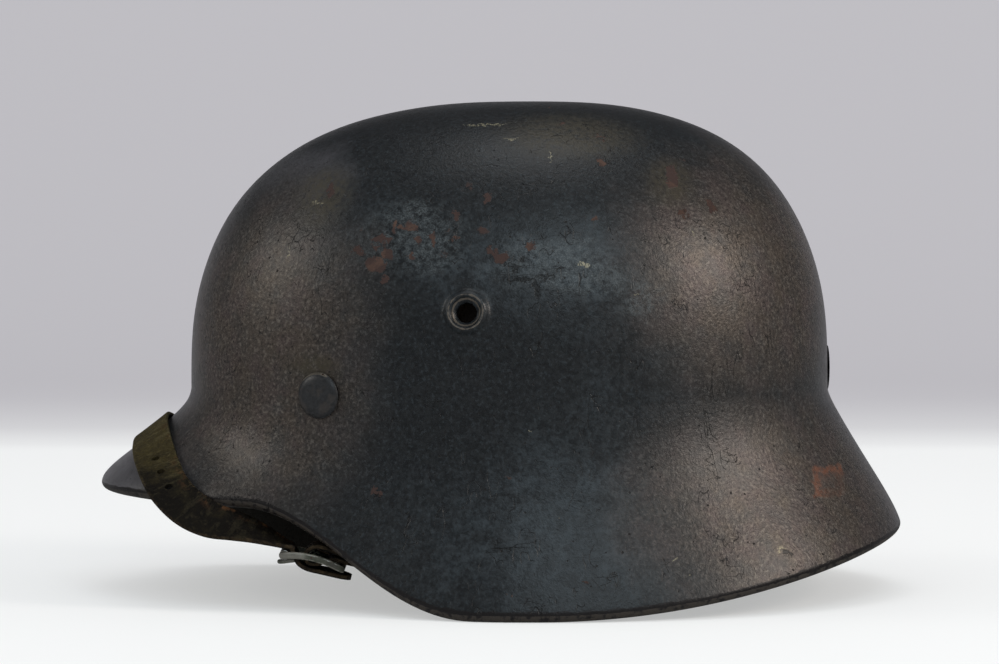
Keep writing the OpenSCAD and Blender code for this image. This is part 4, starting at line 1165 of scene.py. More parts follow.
def settle(obj: bpy.types.Object) -> None:
    """Puts the result of an object's modifiers into its mesh."""
    graph = bpy.context.evaluated_depsgraph_get()
    mesh = bpy.data.meshes.new_from_object(obj.evaluated_get(graph))
    obj.modifiers.clear()
    obj.data = mesh


def cut_away(obj: bpy.types.Object, cutters: Sequence[Part], sharp: float = 38.0) -> None:
    """Cuts closed parts out of an object.

    Args:
        obj: The object, with its own mesh.
        cutters: The closed parts to take away.
        sharp: Edges that turn by more degrees than this are shaded sharp.
    """
    # The cut walls in a strap take the dark tone of its back, as painted shade inside the holes and
    # slots.
    for cutter in cutters:
        cutter.uv = cutter.uv * 0.0
        cutter.marks["flesh"] = np.full(len(cutter.points), 1.0)
    tool = make_piece("cutter", cutters, GROUND, None)
    cut = obj.modifiers.new("cut", "BOOLEAN")
    cut.operation, cut.solver, cut.object = "DIFFERENCE", "MANIFOLD", tool
    settle(obj)
    bpy.data.objects.remove(tool)
    while len(obj.data.materials) > 1:
        obj.data.materials.pop(index=len(obj.data.materials) - 1)
    obj.data.polygons.foreach_set("material_index", np.zeros(len(obj.data.polygons), np.int32))
    shade(obj, sharp)


def bar_cutter(centre: Array, direction: Array, radius: float, reach: float = 8.0) -> Part:
    """A round cutter through a point, reaching both ways."""
    step = unit(direction) * reach
    return rod(centre - step, centre + step, radius, 32, 0.01)


@dataclass(frozen=True)
class HelmetForm:
    """The shell's outer face and rim as functions of an angle, with the part's own sizes."""

    crown_height: float = 170.0
    dome_front: float = 116.5
    dome_rear: float = 106.0
    half_width: float = 92.0
    equator: float = 70.0
    front_fullness: float = 2.7
    rear_fullness: float = 2.6
    side_fullness: float = 2.3
    crown_lean: float = 3.0
    steel: float = 1.2
    roll: float = 2.4
    flare: tuple[float, ...] = (25.5, 21.0, 8.0, 31.5)
    waist: tuple[float, ...] = (69.0, 50.0, 45.0, 66.0)
    bend: tuple[float, ...] = (3.5, 24.0, 20.0, 4.0)
    lip: tuple[float, ...] = (0.4, 0.0, 0.0, 0.9)
    ear_station: float = 92.0
    temple_station: float = 124.0
    seat_rear: float = 88.0
    seat_front: float = 98.0
    notch_end: float = 138.5
    visor_lift: float = 33.5
    visor_arch: float = 1.5
    neck_lift: float = 21.0
    unevenness: float = 0.16

    @property
    def crown_x(self) -> float:
        """Where the dome's highest point lies, so that the outline is centred."""
        return (self.dome_front + self.flare[3] - self.dome_rear - self.flare[0]) / 2

    @property
    def liner_x(self) -> float:
        """The middle of the dome's plan."""
        return self.crown_x + (self.dome_rear - self.dome_front) / 2

    @staticmethod
    def off_rear(angle: Array) -> Array:
        """How far an angle is from the back, 0 to 180 degrees on either side."""
        return np.abs((np.asarray(angle, float) + 180.0) % 360.0 - 180.0)

    def station(self, angle: Array, values: Sequence[float]) -> Array:
        """Eases a value through the neck, ear, temple and visor stations."""
        b = self.off_rear(angle)
        neck, ear, temple, visor = values
        ear_at, temple_at = self.ear_station, self.temple_station
        return np.where(
            b < ear_at, ease(neck, ear, b / ear_at),
            np.where(b < temple_at, ease(ear, temple, (b - ear_at) / (temple_at - ear_at)),
                     ease(temple, visor, (b - temple_at) / (180.0 - temple_at))))

    def rim_height(self, angle: Array) -> Array:
        """Height of the rim: a level visor, a drop to the seat and a rise to the neck."""
        b = self.off_rear(angle)
        neck = self.neck_lift * cosd(90.0 * np.clip(b / self.seat_rear, 0, 1)) ** 2
        past_seat = (b - self.seat_front) / (self.notch_end - self.seat_front)
        notch = ease(0.0, self.visor_lift, past_seat)
        visor = ease(self.visor_lift, self.visor_lift + self.visor_arch,
                     (b - self.notch_end) / (180.0 - self.notch_end))
        return np.where(b <= self.seat_rear, neck, np.where(b < self.notch_end, notch, visor))

    def front_share(self, angle: Array) -> Array:
        """How much of the front half's sizes holds, eased over the ears."""
        return ease(0.0, 1.0, 0.5 - cosd(angle) / 0.5)

    def plan(self, angle: Array) -> tuple[Array, Array, Array]:
        """The plan's half length at an angle, and its outward normal's x and y."""
        length = self.dome_rear + (self.dome_front - self.dome_rear) * self.front_share(angle)
        nx, ny = cosd(angle) / length, sind(angle) / self.half_width
        size = np.hypot(nx, ny)
        return length, nx / size, ny / size

    def normal(self, angle: Array) -> Array:
        """The wall's outward normal in plan."""
        _, nx, ny = self.plan(angle)
        return np.stack([nx, ny, 0 * nx], -1)

    def tangent(self, angle: Array) -> Array:
        """The direction round the wall as the angle grows."""
        _, nx, ny = self.plan(angle)
        return np.stack([-ny, nx, 0 * nx], -1)

    def inset(self, angle: Array, depth: Array | float, height: Array | float) -> Array:
        """A point at a depth inside the wall's outline, at any height."""
        angle, depth, height = np.broadcast_arrays(np.asarray(angle, float), depth, height)
        length, nx, ny = self.plan(angle)
        return np.stack([self.crown_x + length * cosd(angle) - depth * nx,
                         self.half_width * sind(angle) - depth * ny, height], -1)

    def wall_radius(self, angle: float) -> float:
        """The plan ellipse's radius of curvature."""
        length, width = float(self.plan(np.array(angle))[0]), self.half_width
        return float(((length * sind(angle)) ** 2 + (width * cosd(angle)) ** 2) ** 1.5
                     / (length * width))

    def rim_slope(self, angle: Array) -> tuple[Array, Array]:
        """The skirt's direction at the rim: its run outwards and its fall, of length 1."""
        w, c = self.station(angle, self.waist), self.station(angle, self.bend)
        low = self.rim_height(angle) + 1.5 * self.roll
        v = w - low
        slope = (1 + v / np.sqrt(v * v + c * c)) / 2
        run = self.station(angle, self.flare) * (1 - self.station(angle, self.lip)) * slope / (
            self.bow(v, c) - self.bow(w - self.equator, c))
        size = np.hypot(run, 1.0)
        return run / size, -1.0 / size

    @staticmethod
    def bow(value: Array, softness: Array) -> Array:
        """A soft step: 0 far below 0, the value itself far above it."""
        return (value + np.sqrt(value * value + softness * softness)) / 2

    def edge(self, angle: Array) -> tuple[Array, Array]:
        """Height and reach of the point where the skirt turns into the roll."""
        run, fall = self.rim_slope(angle)
        return (self.rim_height(angle) + self.roll * (1 + run),
                self.station(angle, self.flare) - self.roll * (1 + fall))

    def skirt(self, angle: Array, share: Array) -> Array:
        """The skirt from the equator, share 0, to the roll, share 1.

        The reach grows with the soft step of the depth below the waist, so the wall leaves
        the dome along a hyperbola. The lip adds its value times part^4 * (1 - part), which
        turns the last part down.
        """
        low, reach = self.edge(angle)
        z = self.equator + (low - self.equator) * share
        w, c = self.station(angle, self.waist), self.station(angle, self.bend)
        base = self.bow(w - self.equator, c)
        part = (self.bow(w - z, c) - base) / (self.bow(w - low, c) - base)
        part = part + self.station(angle, self.lip) * part**4 * (1 - part)
        return self.inset(angle, -reach * part, z)

    def dome(self, angle: Array, share: Array) -> Array:
        """The dome from the crown, share 0, to the equator, share 1.

        Each level is the plan's ellipse shrunk by a superellipse of the rise.
        """
        s = np.clip(np.cos(np.pi / 2 * share), 0.0, 1.0)
        front = self.front_share(angle)
        fullness = self.rear_fullness + (self.front_fullness - self.rear_fullness) * front
        along = (1 - s**fullness) ** (1 / fullness)
        across = (1 - s**self.side_fullness) ** (1 / self.side_fullness)
        length, _, _ = self.plan(angle)
        return np.stack([self.crown_x + self.crown_lean * s**2 + length * along * cosd(angle),
                         self.half_width * across * sind(angle),
                         self.equator + (self.crown_height - self.equator) * s], -1)

    def outer(self, angle: Array, q: Array) -> Array:
        """The outer face: q is 0 at the crown, 1 at the equator and 2 at the roll.

        Slow waves of a fraction of a millimetre stand for the pressing's unevenness.
        """
        angle, q = np.broadcast_arrays(np.asarray(angle, float), np.asarray(q, float))
        dome = self.dome(angle, np.clip(q, 0.0, 1.0))
        skirt = self.skirt(angle, np.clip(q - 1.0, 0.0, 1.0))
        point = np.where(q[..., None] < 1.0, dome, skirt)
        x, y, z = point[..., 0], point[..., 1], point[..., 2]
        wave = (np.sin(x / 15 + 1.3) * np.sin(z / 12 + 0.4)
                + 0.6 * np.sin(y / 11 + 2.0) * np.sin(x / 21 + 0.7)
                + 0.4 * np.sin(z / 7 + x / 19)) * self.unevenness
        fade = ease(1.0, 0.0, (q - 1.7) / 0.3) * ease(0.0, 1.0, q / 0.2)
        away = unit(point - np.array([self.crown_x, 0.0, self.equator - 10.0]))
        return point + (wave * fade)[..., None] * away

    def face_normal(self, angle: Array, q: Array) -> Array:
        """The outer face's normal, from small steps along its two parameters."""
        q = np.clip(q, 0.012, 1.988)
        round_step = self.outer(angle + 0.5, q) - self.outer(angle - 0.5, q)
        down_step = self.outer(angle, q + 0.01) - self.outer(angle, q - 0.01)
        return unit(np.cross(down_step, round_step))

    def roll_point(self, angle: Array, turn: Array) -> Array:
        """The rolled edge: a circle that starts along the skirt and turns inwards."""
        run, fall = self.rim_slope(angle)
        out = self.roll * (fall - fall * cosd(turn) + run * sind(turn))
        rise = self.roll * (-run + run * cosd(turn) + fall * sind(turn))
        return (self.skirt(angle, np.ones_like(run)) + out[..., None] * self.normal(angle)
                + rise[..., None] * UP)

    def band(self, depth: float, thickness: float, low: float, high: float,
             soften: float = 0.25) -> Part:
        """A closed band round the inside of the wall, with softened edges."""
        angles = np.arange(360) * 1.0
        path = self.inset(angles, depth + thickness / 2, (low + high) / 2)
        section = rounded_box(high - low, thickness, soften, 3)
        return sweep(path, UP, section, closed=True)


FORM = HelmetForm()
# Angle and height of the left, right and rear split pins.
PIN_PLACES = ((-126.0, 71.5), (126.0, 71.5), (0.0, 77.0))


@dataclass
class Shell:
    """The pressed steel shell: dome, skirt, rolled rim and the two vents."""

    form: HelmetForm = FORM
    columns: int = 320
    dome_rows: int = 62
    skirt_rows: int = 46
    vent_angle: float = 100.0
    vent_height: float = 99.5
    patch_cut: float = 7.3
    pin_hole: float = 2.6
    boss: tuple[tuple[float, float], ...] = (
        (11.4, -0.10), (10.6, 0.00), (9.8, 0.02), (9.1, 0.06), (8.5, 0.16), (7.9, 0.42),
        (7.4, 0.95), (7.0, 1.52), (6.6, 2.02), (6.1, 2.32), (5.6, 2.30), (5.2, 2.02),
        (4.9, 1.60), (4.65, 1.18), (4.35, 0.80), (4.0, 0.50), (3.6, 0.12), (3.35, -0.40),
        (3.3, -1.70), (3.4, -2.15), (3.7, -2.40), (4.2, -2.42), (4.8, -2.20), (5.5, -1.85),
        (6.4, -1.52), (7.6, -1.34), (9.2, -1.28), (10.6, -1.26), (11.4, -1.10),
    )

    def build(self) -> list[bpy.types.Object]:
        """Makes the sheet, cuts its holes and sets the pressed vents."""
        form = self.form
        sheet = make_piece("shell_sheet", [self.sheet()], SHELL_PAINT, None)
        cutters = [bar_cutter(v.origin, v.z, self.patch_cut, 10.0) for v in self.vents()]
        for angle, height in PIN_PLACES:
            cutters.append(bar_cutter(form.inset(angle, 0.0, height), form.normal(angle),
                                      self.pin_hole))
        cut_away(sheet, cutters)
        tie(sheet, "helmet", ["shell"])
        bosses = [self.boss_part(place, side) for side, place in zip((-1, 1), self.vents())]
        vents = make_piece("vent_bosses", bosses, SHELL_PAINT, "helmet")
        return [sheet, vents]

    def vent_q(self) -> float:
        """The vents' height as the outer face's parameter."""
        form = self.form
        return math.degrees(math.acos((self.vent_height - form.equator)
                                      / (form.crown_height - form.equator))) / 90.0

    def vents(self) -> list[Place]:
        """The two vents' places, square to the wall."""
        places = []
        for side in (-1.0, 1.0):
            angle, q = np.array(side * self.vent_angle), np.array(self.vent_q())
            places.append(facing(self.form.outer(angle, q), self.form.face_normal(angle, q)))
        return places

    def sheet(self) -> Part:
        """Rows from the crown over the outer face, round the roll and back up inside.

        The inner face is the outer one less the sheet along its normal. The roll runs through
        300 degrees, where its circle meets the inner face.
        """
        form = self.form
        angles = np.arange(self.columns) * 360.0 / self.columns
        dome_q = np.linspace(0.0, 1.0, self.dome_rows, endpoint=False)[1:]
        skirt_q = np.linspace(1.0, 2.0, self.skirt_rows)
        outer_q = np.concatenate([dome_q, skirt_q])
        outer = form.outer(angles[None], outer_q[:, None])
        turns = np.arange(15.0, 301.0, 15.0)
        roll = form.roll_point(angles[None], turns[:, None])
        inner_q = np.concatenate([np.linspace(1.93, 1.0, 26), np.linspace(0.97, 0.03, 36)])
        inner = (form.outer(angles[None], inner_q[:, None])
                 - form.steel * form.face_normal(angles[None], inner_q[:, None]))
        crown = np.array([form.crown_x + form.crown_lean, 0.0, form.crown_height])
        top = np.broadcast_to(crown, (1, self.columns, 3))
        points = np.concatenate([top, outer, roll, inner, top - form.steel * UP])
        count = len(points)
        first_roll, first_inner = 1 + len(outer), 1 + len(outer) + len(roll)
        rim, edge, inside = np.zeros(count), np.zeros(count), np.zeros(count)
        rim[first_roll:first_inner] = 1.0
        rim[first_roll - 1] = 0.55
        edge[first_roll + 1:first_roll + 9] = 0.75
        inside[first_inner:] = 1.0
        inside[first_inner - 6:first_inner] = np.linspace(0.1, 0.9, 6)
        marks = {"rim": rim[:, None], "edge": edge[:, None], "inside": inside[:, None]}
        return grid(points, ends=(End.POLE, End.POLE), marks=marks)

    def boss_part(self, place: Place, side: int) -> Part:
        """A pressed vent: the boss profile laid over the curved wall.

        Each ring's points are found on the wall by Newton steps on its two parameters, so
        that their places across the vent's axis are the ring's own, and then lifted.

        Args:
            place: The vent's place.
            side: -1 on the wearer's left, 1 on the right.

        Returns:
            The part.
        """
        form = self.form
        profile = spline(self.boss, 3)
        turn = np.arange(96) * 360.0 / 96
        x, y = profile[:, 0:1] * cosd(turn), profile[:, 0:1] * sind(turn)
        angle = np.full(x.shape, side * self.vent_angle)
        q = np.full(x.shape, self.vent_q())
        for _ in range(6):
            def local(a: Array, b: Array) -> tuple[Array, Array]:
                """The wall point's place across the vent's axis."""
                d = form.outer(a, b) - place.origin
                return d @ place.x, d @ place.y
            ex, ey = local(angle, q)
            ax, ay = (v - w for v, w in zip(local(angle + 0.1, q), (ex, ey)))
            qx, qy = (v - w for v, w in zip(local(angle, q + 0.001), (ex, ey)))
            det = ax * qy - ay * qx
            dx, dy = x - ex, y - ey
            angle = angle + 0.1 * (dx * qy - dy * qx) / det
            q = q + 0.001 * (ax * dy - ay * dx) / det
        points = form.outer(angle, q) + profile[:, 1][:, None, None] * place.z
        r, h = profile[:, 0], profile[:, 1]
        # Wear on the crest and on the mouth's lip; their pale rings are partly wear and partly
        # painted highlights.
        crest_wear_and_sheen = np.exp(-((r - 5.8) / 0.6) ** 2) * (h > 1.0) * 0.8
        mouth_wear_and_sheen = np.exp(-((r - 4.5) / 0.5) ** 2) * (h > 0.0) * 0.9
        deep = np.clip((-h - 1.0) * 3, 0, 1)
        marks = {"edge": (crest_wear_and_sheen + mouth_wear_and_sheen)[:, None], "inside": deep[:, None]}
        return grid(points, closed_rows=True, marks=marks)


@dataclass
class SplitPins:
    """The three split pins: a domed head outside and two legs bent open inside."""

    form: HelmetForm = FORM
    head: float = 15.4
    lift: float = 0.5
    shank: float = 4.4
    leg: float = 12.0
    leg_width: float = 4.0
    leg_sheet: float = 0.7
    depth: float = 3.6
    rear_rise: float = 0.20
    rear_lift: float = 0.12

    def build(self) -> list[bpy.types.Object]:
        """Makes the three pins."""
        names = ("split_pin_left", "split_pin_right", "split_pin_rear")
        return [self.pin(name, angle, height) for name, (angle, height) in zip(names, PIN_PLACES)]

    def pin(self, name: str, angle: float, height: float) -> bpy.types.Object:
        """One pin: its head's profile is a shallow dome with a small rolled border."""
        form, r = self.form, self.head / 2
        place = facing(form.inset(angle, 0.0, height), form.normal(angle))
        out = spline([(0.0, 2.55), (2.2, 2.50), (4.2, 2.34), (5.7, 2.04), (6.7, 1.56),
                      (7.35, 0.98), (r, 0.46), (r - 0.06, 0.14), (r - 0.45, 0.0)], 4)
        rear = angle == 0.0
        out[:, 1] *= self.rear_rise if rear else 1.0
        foot = -self.depth - 0.7
        profile = np.vstack([out, [[self.shank / 2, 0.0], [self.shank / 2, foot], [0.0, foot]]])
        profile[0, 0] = 0.0
        shift = np.zeros_like(profile)
        shift[:len(out) + 1, 1] = self.rear_lift if rear else self.lift
        profile = profile + shift
        arc = cosd(np.arange(72) * 5.0 - 100.0).clip(0) ** 2
        wear = np.exp(-((profile[:, :1] - 7.35) / 0.45) ** 2) * arc * 0.9
        head = revolve(profile, place, 72, marks={"edge": wear * (0.0 if rear else 1.0)})
        parts = [head]
        tilt = math.degrees(math.atan(self.leg / 2 / (form.wall_radius(angle) - 3.4))) + 1
        for side in (-1.0, 1.0):
            reach = np.linspace(0.0, self.leg, 16)
            path = place.points(-side * reach * cosd(tilt),
                                0 * reach, -self.depth - 0.35 - reach * sind(tilt))
            width = np.sqrt(np.clip(1 - ((reach - self.leg + 2) / 2).clip(0) ** 2, 0.02, 1))
            section = rounded_box(self.leg_width, self.leg_sheet, 0.2, 2)
            scale = np.stack([width, np.ones_like(width)], 1)
            parts.append(sweep(path, place.y, section, scale=scale))
        return dress(name, parts, PIN_PAINT)


@dataclass
class LinerBands:
    """The two steel bands with their leaf springs, rivets and felt."""

    form: HelmetForm = FORM
    low: float = 61.5
    high: float = 81.5
    outer_in: float = 2.6
    inner_in: float = 8.4
    sheet: float = 0.8
    spring_angles: tuple[float, ...] = (-152.0, 152.0, -48.0, 48.0)
    spring_half: float = 16.0
    spring_level: float = 76.0
    spring_width: float = 8.0
    spring_sheet: float = 0.6
    seat: float = 0.2
    clip_angle: float = 97.0
    clip_level: float = 70.5
    clip_spread: float = 5.5
    clip_grip: float = 1.2
    felt_inset: float = 9.4
    felt_thick: float = 1.5

    def build(self) -> list[bpy.types.Object]:
        """Makes bands, springs, rivets and felt."""
        form, made = self.form, []
        for name, depth in (("outer_band", self.outer_in), ("inner_band", self.inner_in)):
            part = form.band(depth, self.sheet, self.low, self.high)
            made.append(dress(name, [part], BAND_STEEL))
        names = ("spring_front_left", "spring_front_right", "spring_rear_left", "spring_rear_right")
        for name, angle in zip(names, self.spring_angles):
            made.append(dress(name, [self.spring(angle)], SPRING_STEEL))
        rivets = [part for spec in self.rivet_places() for part in self.rivet(*spec)]
        made.append(dress("liner_rivets", rivets, RIVET_STEEL))
        felt = form.band(self.felt_inset, self.felt_thick, self.low + 1, self.high - 1, 0.5)
        made.append(dress("felt_pad", [felt], FELT))
        return made

    def step(self, angle: float) -> float:
        """The angle that a spring's half length spans."""
        return math.degrees(self.spring_half / self.form.wall_radius(angle))

    def spring(self, angle: float) -> Part:
        """A bowed leaf whose ends lie on the outer band and whose middle on the inner one."""
        share = np.linspace(-1, 1, 65)
        near = self.outer_in + self.sheet + self.seat + self.spring_sheet / 2
        far = self.inner_in - self.seat - self.spring_sheet / 2
        lift = ease(1.0, 0.0, (np.abs(share) - 0.15) / 0.45)
        path = self.form.inset(angle + share * self.step(angle), near + (far - near) * lift,
                               self.spring_level)
        return sweep(path, UP, rounded_box(self.spring_width, self.spring_sheet, 0.2, 2))

    def rivet_places(self) -> list[tuple[float, float, float, float]]:
        """Angle, height, first and last inset of each rivet."""
        face = self.outer_in + self.sheet
        end = face + self.spring_sheet + 2 * self.seat
        places = [(a + side * self.step(a) * 0.8, self.spring_level, self.outer_in, end)
                  for a in self.spring_angles for side in (-1, 1)]
        places += [(a, self.spring_level, self.inner_in - self.spring_sheet - 2 * self.seat,
                    self.inner_in + self.sheet) for a in self.spring_angles]
        shift = math.degrees(self.clip_spread / self.form.wall_radius(self.clip_angle))
        places += [(side * self.clip_angle + turn * shift, self.clip_level, self.outer_in,
                    face + self.clip_grip) for side in (-1, 1) for turn in (-1, 1)]
        return places

    def rivet(self, angle: float, height: float, start: float, end: float) -> list[Part]:
        """A shank with a low domed head at both ends."""
        form = self.form
        place = facing(form.inset(angle, end + self.seat, height), form.normal(angle))
        grip = end - start + 2 * self.seat
        head = spline([(0, 0.62), (0.6, 0.58), (1.15, 0.42), (1.6, 0.16), (1.7, 0.0)], 3)
        head[0, 0] = 0.0
        profile = np.vstack([head, [[1.0, 0.0], [1.0, -grip / 2], [0.0, -grip / 2]]])
        return riveted(profile, place.moved(0, 0, grip), place, 24, np.full(len(head), 0.5))


@dataclass
class LeatherLiner:
    """The leather: a flap, a turn under the band, a sweatband and eight tongues, with cord."""

    form: HelmetForm = FORM
    tongues: int = 8
    tongue_columns: int = 25
    gap_columns: int = 7
    leather: float = 1.3
    flap_inset: float = 7.3
    sweat_inset: float = 11.75
    turn_height: float = 61.5
    flap_top: float = 70.5
    root: float = 88.0
    top: float = 145.0
    root_half: float = 18.75
    tongue_half: tuple[float, float] = (18.0, 15.0)
    cord: float = 2.2
    cord_rise: float = 69.0
    cord_hole: float = 2.0
    vent_hole: float = 2.2
    holes: tuple[tuple[float, int], ...] = (
        (-0.5, 14), (0.5, 14), (0.0, 25), (-0.42, 37), (0.42, 37))

    def build(self) -> list[bpy.types.Object]:
        """Makes the leather and the drawstring."""
        leather = make_piece("leather_liner_form", [self.sheet()], LINER_LEATHER, None)
        thick = leather.modifiers.new("thickness", "SOLIDIFY")
        thick.thickness, thick.offset = self.leather / METRE, 0.0
        edge = leather.modifiers.new("edge", "BEVEL")
        edge.width, edge.segments, edge.limit_method = 0.3 / METRE, 2, "ANGLE"
        edge.angle_limit = math.radians(60)
        settle(leather)
        cut_away(leather, self.cutters(), 50.0)
        self.mark_hidden(leather)
        tie(leather, "helmet", ["leather_liner"])
        cord = dress("drawstring", [self.string()], CORD, sharp=80.0)
        return [leather, cord]

    def mark_hidden(self, leather: bpy.types.Object) -> None:
        """Marks the side that faces the shell, where normals point away from the head, to be
        painted dark as shade.
        """
        mesh = leather.data
        points, normals = np.empty(3 * len(mesh.vertices)), np.empty(3 * len(mesh.vertices))
        mesh.vertices.foreach_get("co", points)
        mesh.vertices.foreach_get("normal", normals)
        away = points.reshape(-1, 3) - np.array([self.form.liner_x, 0.0, 75.0]) / METRE
        hidden = (np.einsum("ij,ij->i", away, normals.reshape(-1, 3)) > 0).astype(np.float32)
        mesh.attributes.new("hidden", "FLOAT", "POINT").data.foreach_set("value", hidden)

    def dome(self, angle: Array, rise: Array) -> Array:
        """The leather dome: an ellipse up from the sweatband towards the middle."""
        foot = self.form.inset(angle, self.sweat_inset, 0.0)
        centre = np.array([self.form.liner_x, 0.0, 0.0])
        lift = self.root + (self.top - self.root) * sind(rise)
        return centre + (foot - centre) * cosd(rise)[..., None] + lift[..., None] * UP

    def dome_normal(self, angle: Array, rise: Array) -> Array:
        """The leather dome's outward normal."""
        turn = self.dome(angle + 1, rise) - self.dome(angle - 1, rise)
        up = self.dome(angle, rise + 1) - self.dome(angle, rise - 1)
        return unit(np.cross(turn, up))

    def sheet(self) -> Part:
        """The leather's middle face as rows up its profile by columns round the helmet.

        The profile comes down the flap, turns under the band in a half circle and goes up the
        sweatband. Above it only the tongues' columns are kept: each tongue's half width
        narrows and its tip is rounded, and each slit ends in a U.
        """
        radius = (self.sweat_inset - self.flap_inset) / 2
        turn = np.linspace(0, 180, 17)
        flap = np.linspace(self.flap_top, self.turn_height, 7)[:-1]
        band = np.linspace(self.turn_height, self.root, 14)[1:]
        depth = np.concatenate([np.full(6, self.flap_inset), self.flap_inset + radius
                                * (1 - cosd(turn)), np.full(13, self.sweat_inset)])
        level = np.concatenate([flap, self.turn_height - radius * sind(turn), band])
        low_rows, high_rows = len(level), 40
        rise = np.linspace(0, 75, high_rows + 1)[1:]

        p = np.linspace(-1, 1, self.tongue_columns)
        g = np.linspace(-1, 1, self.gap_columns + 2)[1:-1]
        pitch = 360.0 / self.tongues
        rows = np.arange(low_rows + high_rows)
        half = np.where(rows < low_rows, self.root_half,
                        ease(*self.tongue_half, (rows - low_rows) / 14.0))[:, None]
        tongue = half * p
        gap = pitch / 2 + (pitch / 2 - half) * g
        one = np.concatenate([tongue, gap], 1)
        angles = np.concatenate([one + pitch * k for k in range(self.tongues)], 1)
        across = np.tile(np.concatenate([np.abs(p), np.ones_like(g)]), self.tongues)
        slit = np.tile(np.concatenate([np.zeros_like(p), np.sqrt(1 - g**2)]), self.tongues)

        share = np.clip((level - self.turn_height) / (self.root - self.turn_height), 0, 1)
        share[:6 + 17] = 0.0
        heights = level[:, None] - 4.5 * share[:, None] ** 2 * slit
        low = self.form.inset(angles[:low_rows], depth[:, None], heights)
        tip = 5.0 * np.linspace(0, 1, high_rows)[:, None] ** 3 * across**3
        high_rise = rise[:, None] - tip
        high_angles = angles[low_rows:]
        sag = (0.9 * np.sin(np.radians(high_rise) * 2.4) * (1 - across**2)
               + 0.35 * np.sin(high_rise / 4.1 + high_angles / 7.0))
        inwards = sag[..., None] * self.dome_normal(high_angles, high_rise)
        high = self.dome(high_angles, high_rise) - inwards
        points = np.concatenate([low, high])
        wave = 0.18 * np.sin(angles[:low_rows] / 2.3 + level[:, None] / 3.0)
        points[:low_rows] += wave[..., None] * self.form.normal(angles[:low_rows])
        columns = points.shape[1]
        per = self.tongue_columns + self.gap_columns
        keep = np.ones((len(points) - 1, columns), bool)
        keep[low_rows - 1:, np.arange(columns) % per >= self.tongue_columns - 1] = False
        part = grid(points, ends=(End.OPEN, End.OPEN), keep=keep, solid=False)
        used = np.unique(part.quads)
        renumber = np.zeros(len(part.points), int)
        renumber[used] = np.arange(len(used))
        return Part(part.points[used], renumber[part.quads], part.uv)

    def weave(self, angle: Array) -> Array:
        """1 outside a tongue's middle, 0 in its two holes and -1 between the tongues."""
        c = cosd(self.tongues * angle)
        return np.where(c > 0.5, 2 * (c - 0.5), np.maximum(-1, (c - 0.5) / 0.75))

    def cord_line(self, angle: Array) -> Array:
        """The drawstring's middle line, in and out of the tongues."""
        rise = np.full(np.shape(angle), self.cord_rise)
        wave = self.cord / 2 + self.leather / 2 + 0.5
        shift = (wave * self.weave(angle))[..., None]
        return self.dome(angle, rise) - shift * self.dome_normal(angle, rise)

    def string(self) -> Part:
        """A laid cord: a tube with three strands that turn once in 6 mm."""
        angle = np.arange(1100) * 360.0 / 1100
        path = self.cord_line(angle)
        ahead = unit(np.roll(path, -1, 0) - np.roll(path, 1, 0))
        across = unit(np.cross(ahead, UP))
        above = np.cross(across, ahead)
        run = run_length(np.vstack([path, path[:1]]))
        turns = round(run[-1] / 6.0)
        twist = 360.0 * turns * run[:-1, None] / run[-1]
        theta = np.arange(18) * 20.0
        radius = self.cord / 2 * (0.92 + 0.10 * np.abs(cosd(1.5 * (theta - twist))))
        points = (path[:, None] + (radius * cosd(theta))[..., None] * across[:, None]
                  + (radius * sind(theta))[..., None] * above[:, None])
        return grid(points, closed_rows=True)

    def cutters(self) -> list[Part]:
        """The drawstring's holes and five vent holes in each tongue."""
        made = []
        for k in range(self.tongues):
            middle = 360.0 * k / self.tongues
            for side in (-1, 1):
                a = np.array(middle + side * 60.0 / self.tongues)
                slant = self.cord_line(a + 2) - self.cord_line(a - 2)
                at = self.dome(a, np.array(self.cord_rise))
                made.append(bar_cutter(at, slant, self.cord_hole, 3.4))
            for share, rise in self.holes:
                a, up = np.array(middle + share * 16.0), np.array(float(rise))
                at, away = self.dome(a, up), self.dome_normal(a, up)
                made.append(bar_cutter(at, away, self.vent_hole, 4.0))
        return made


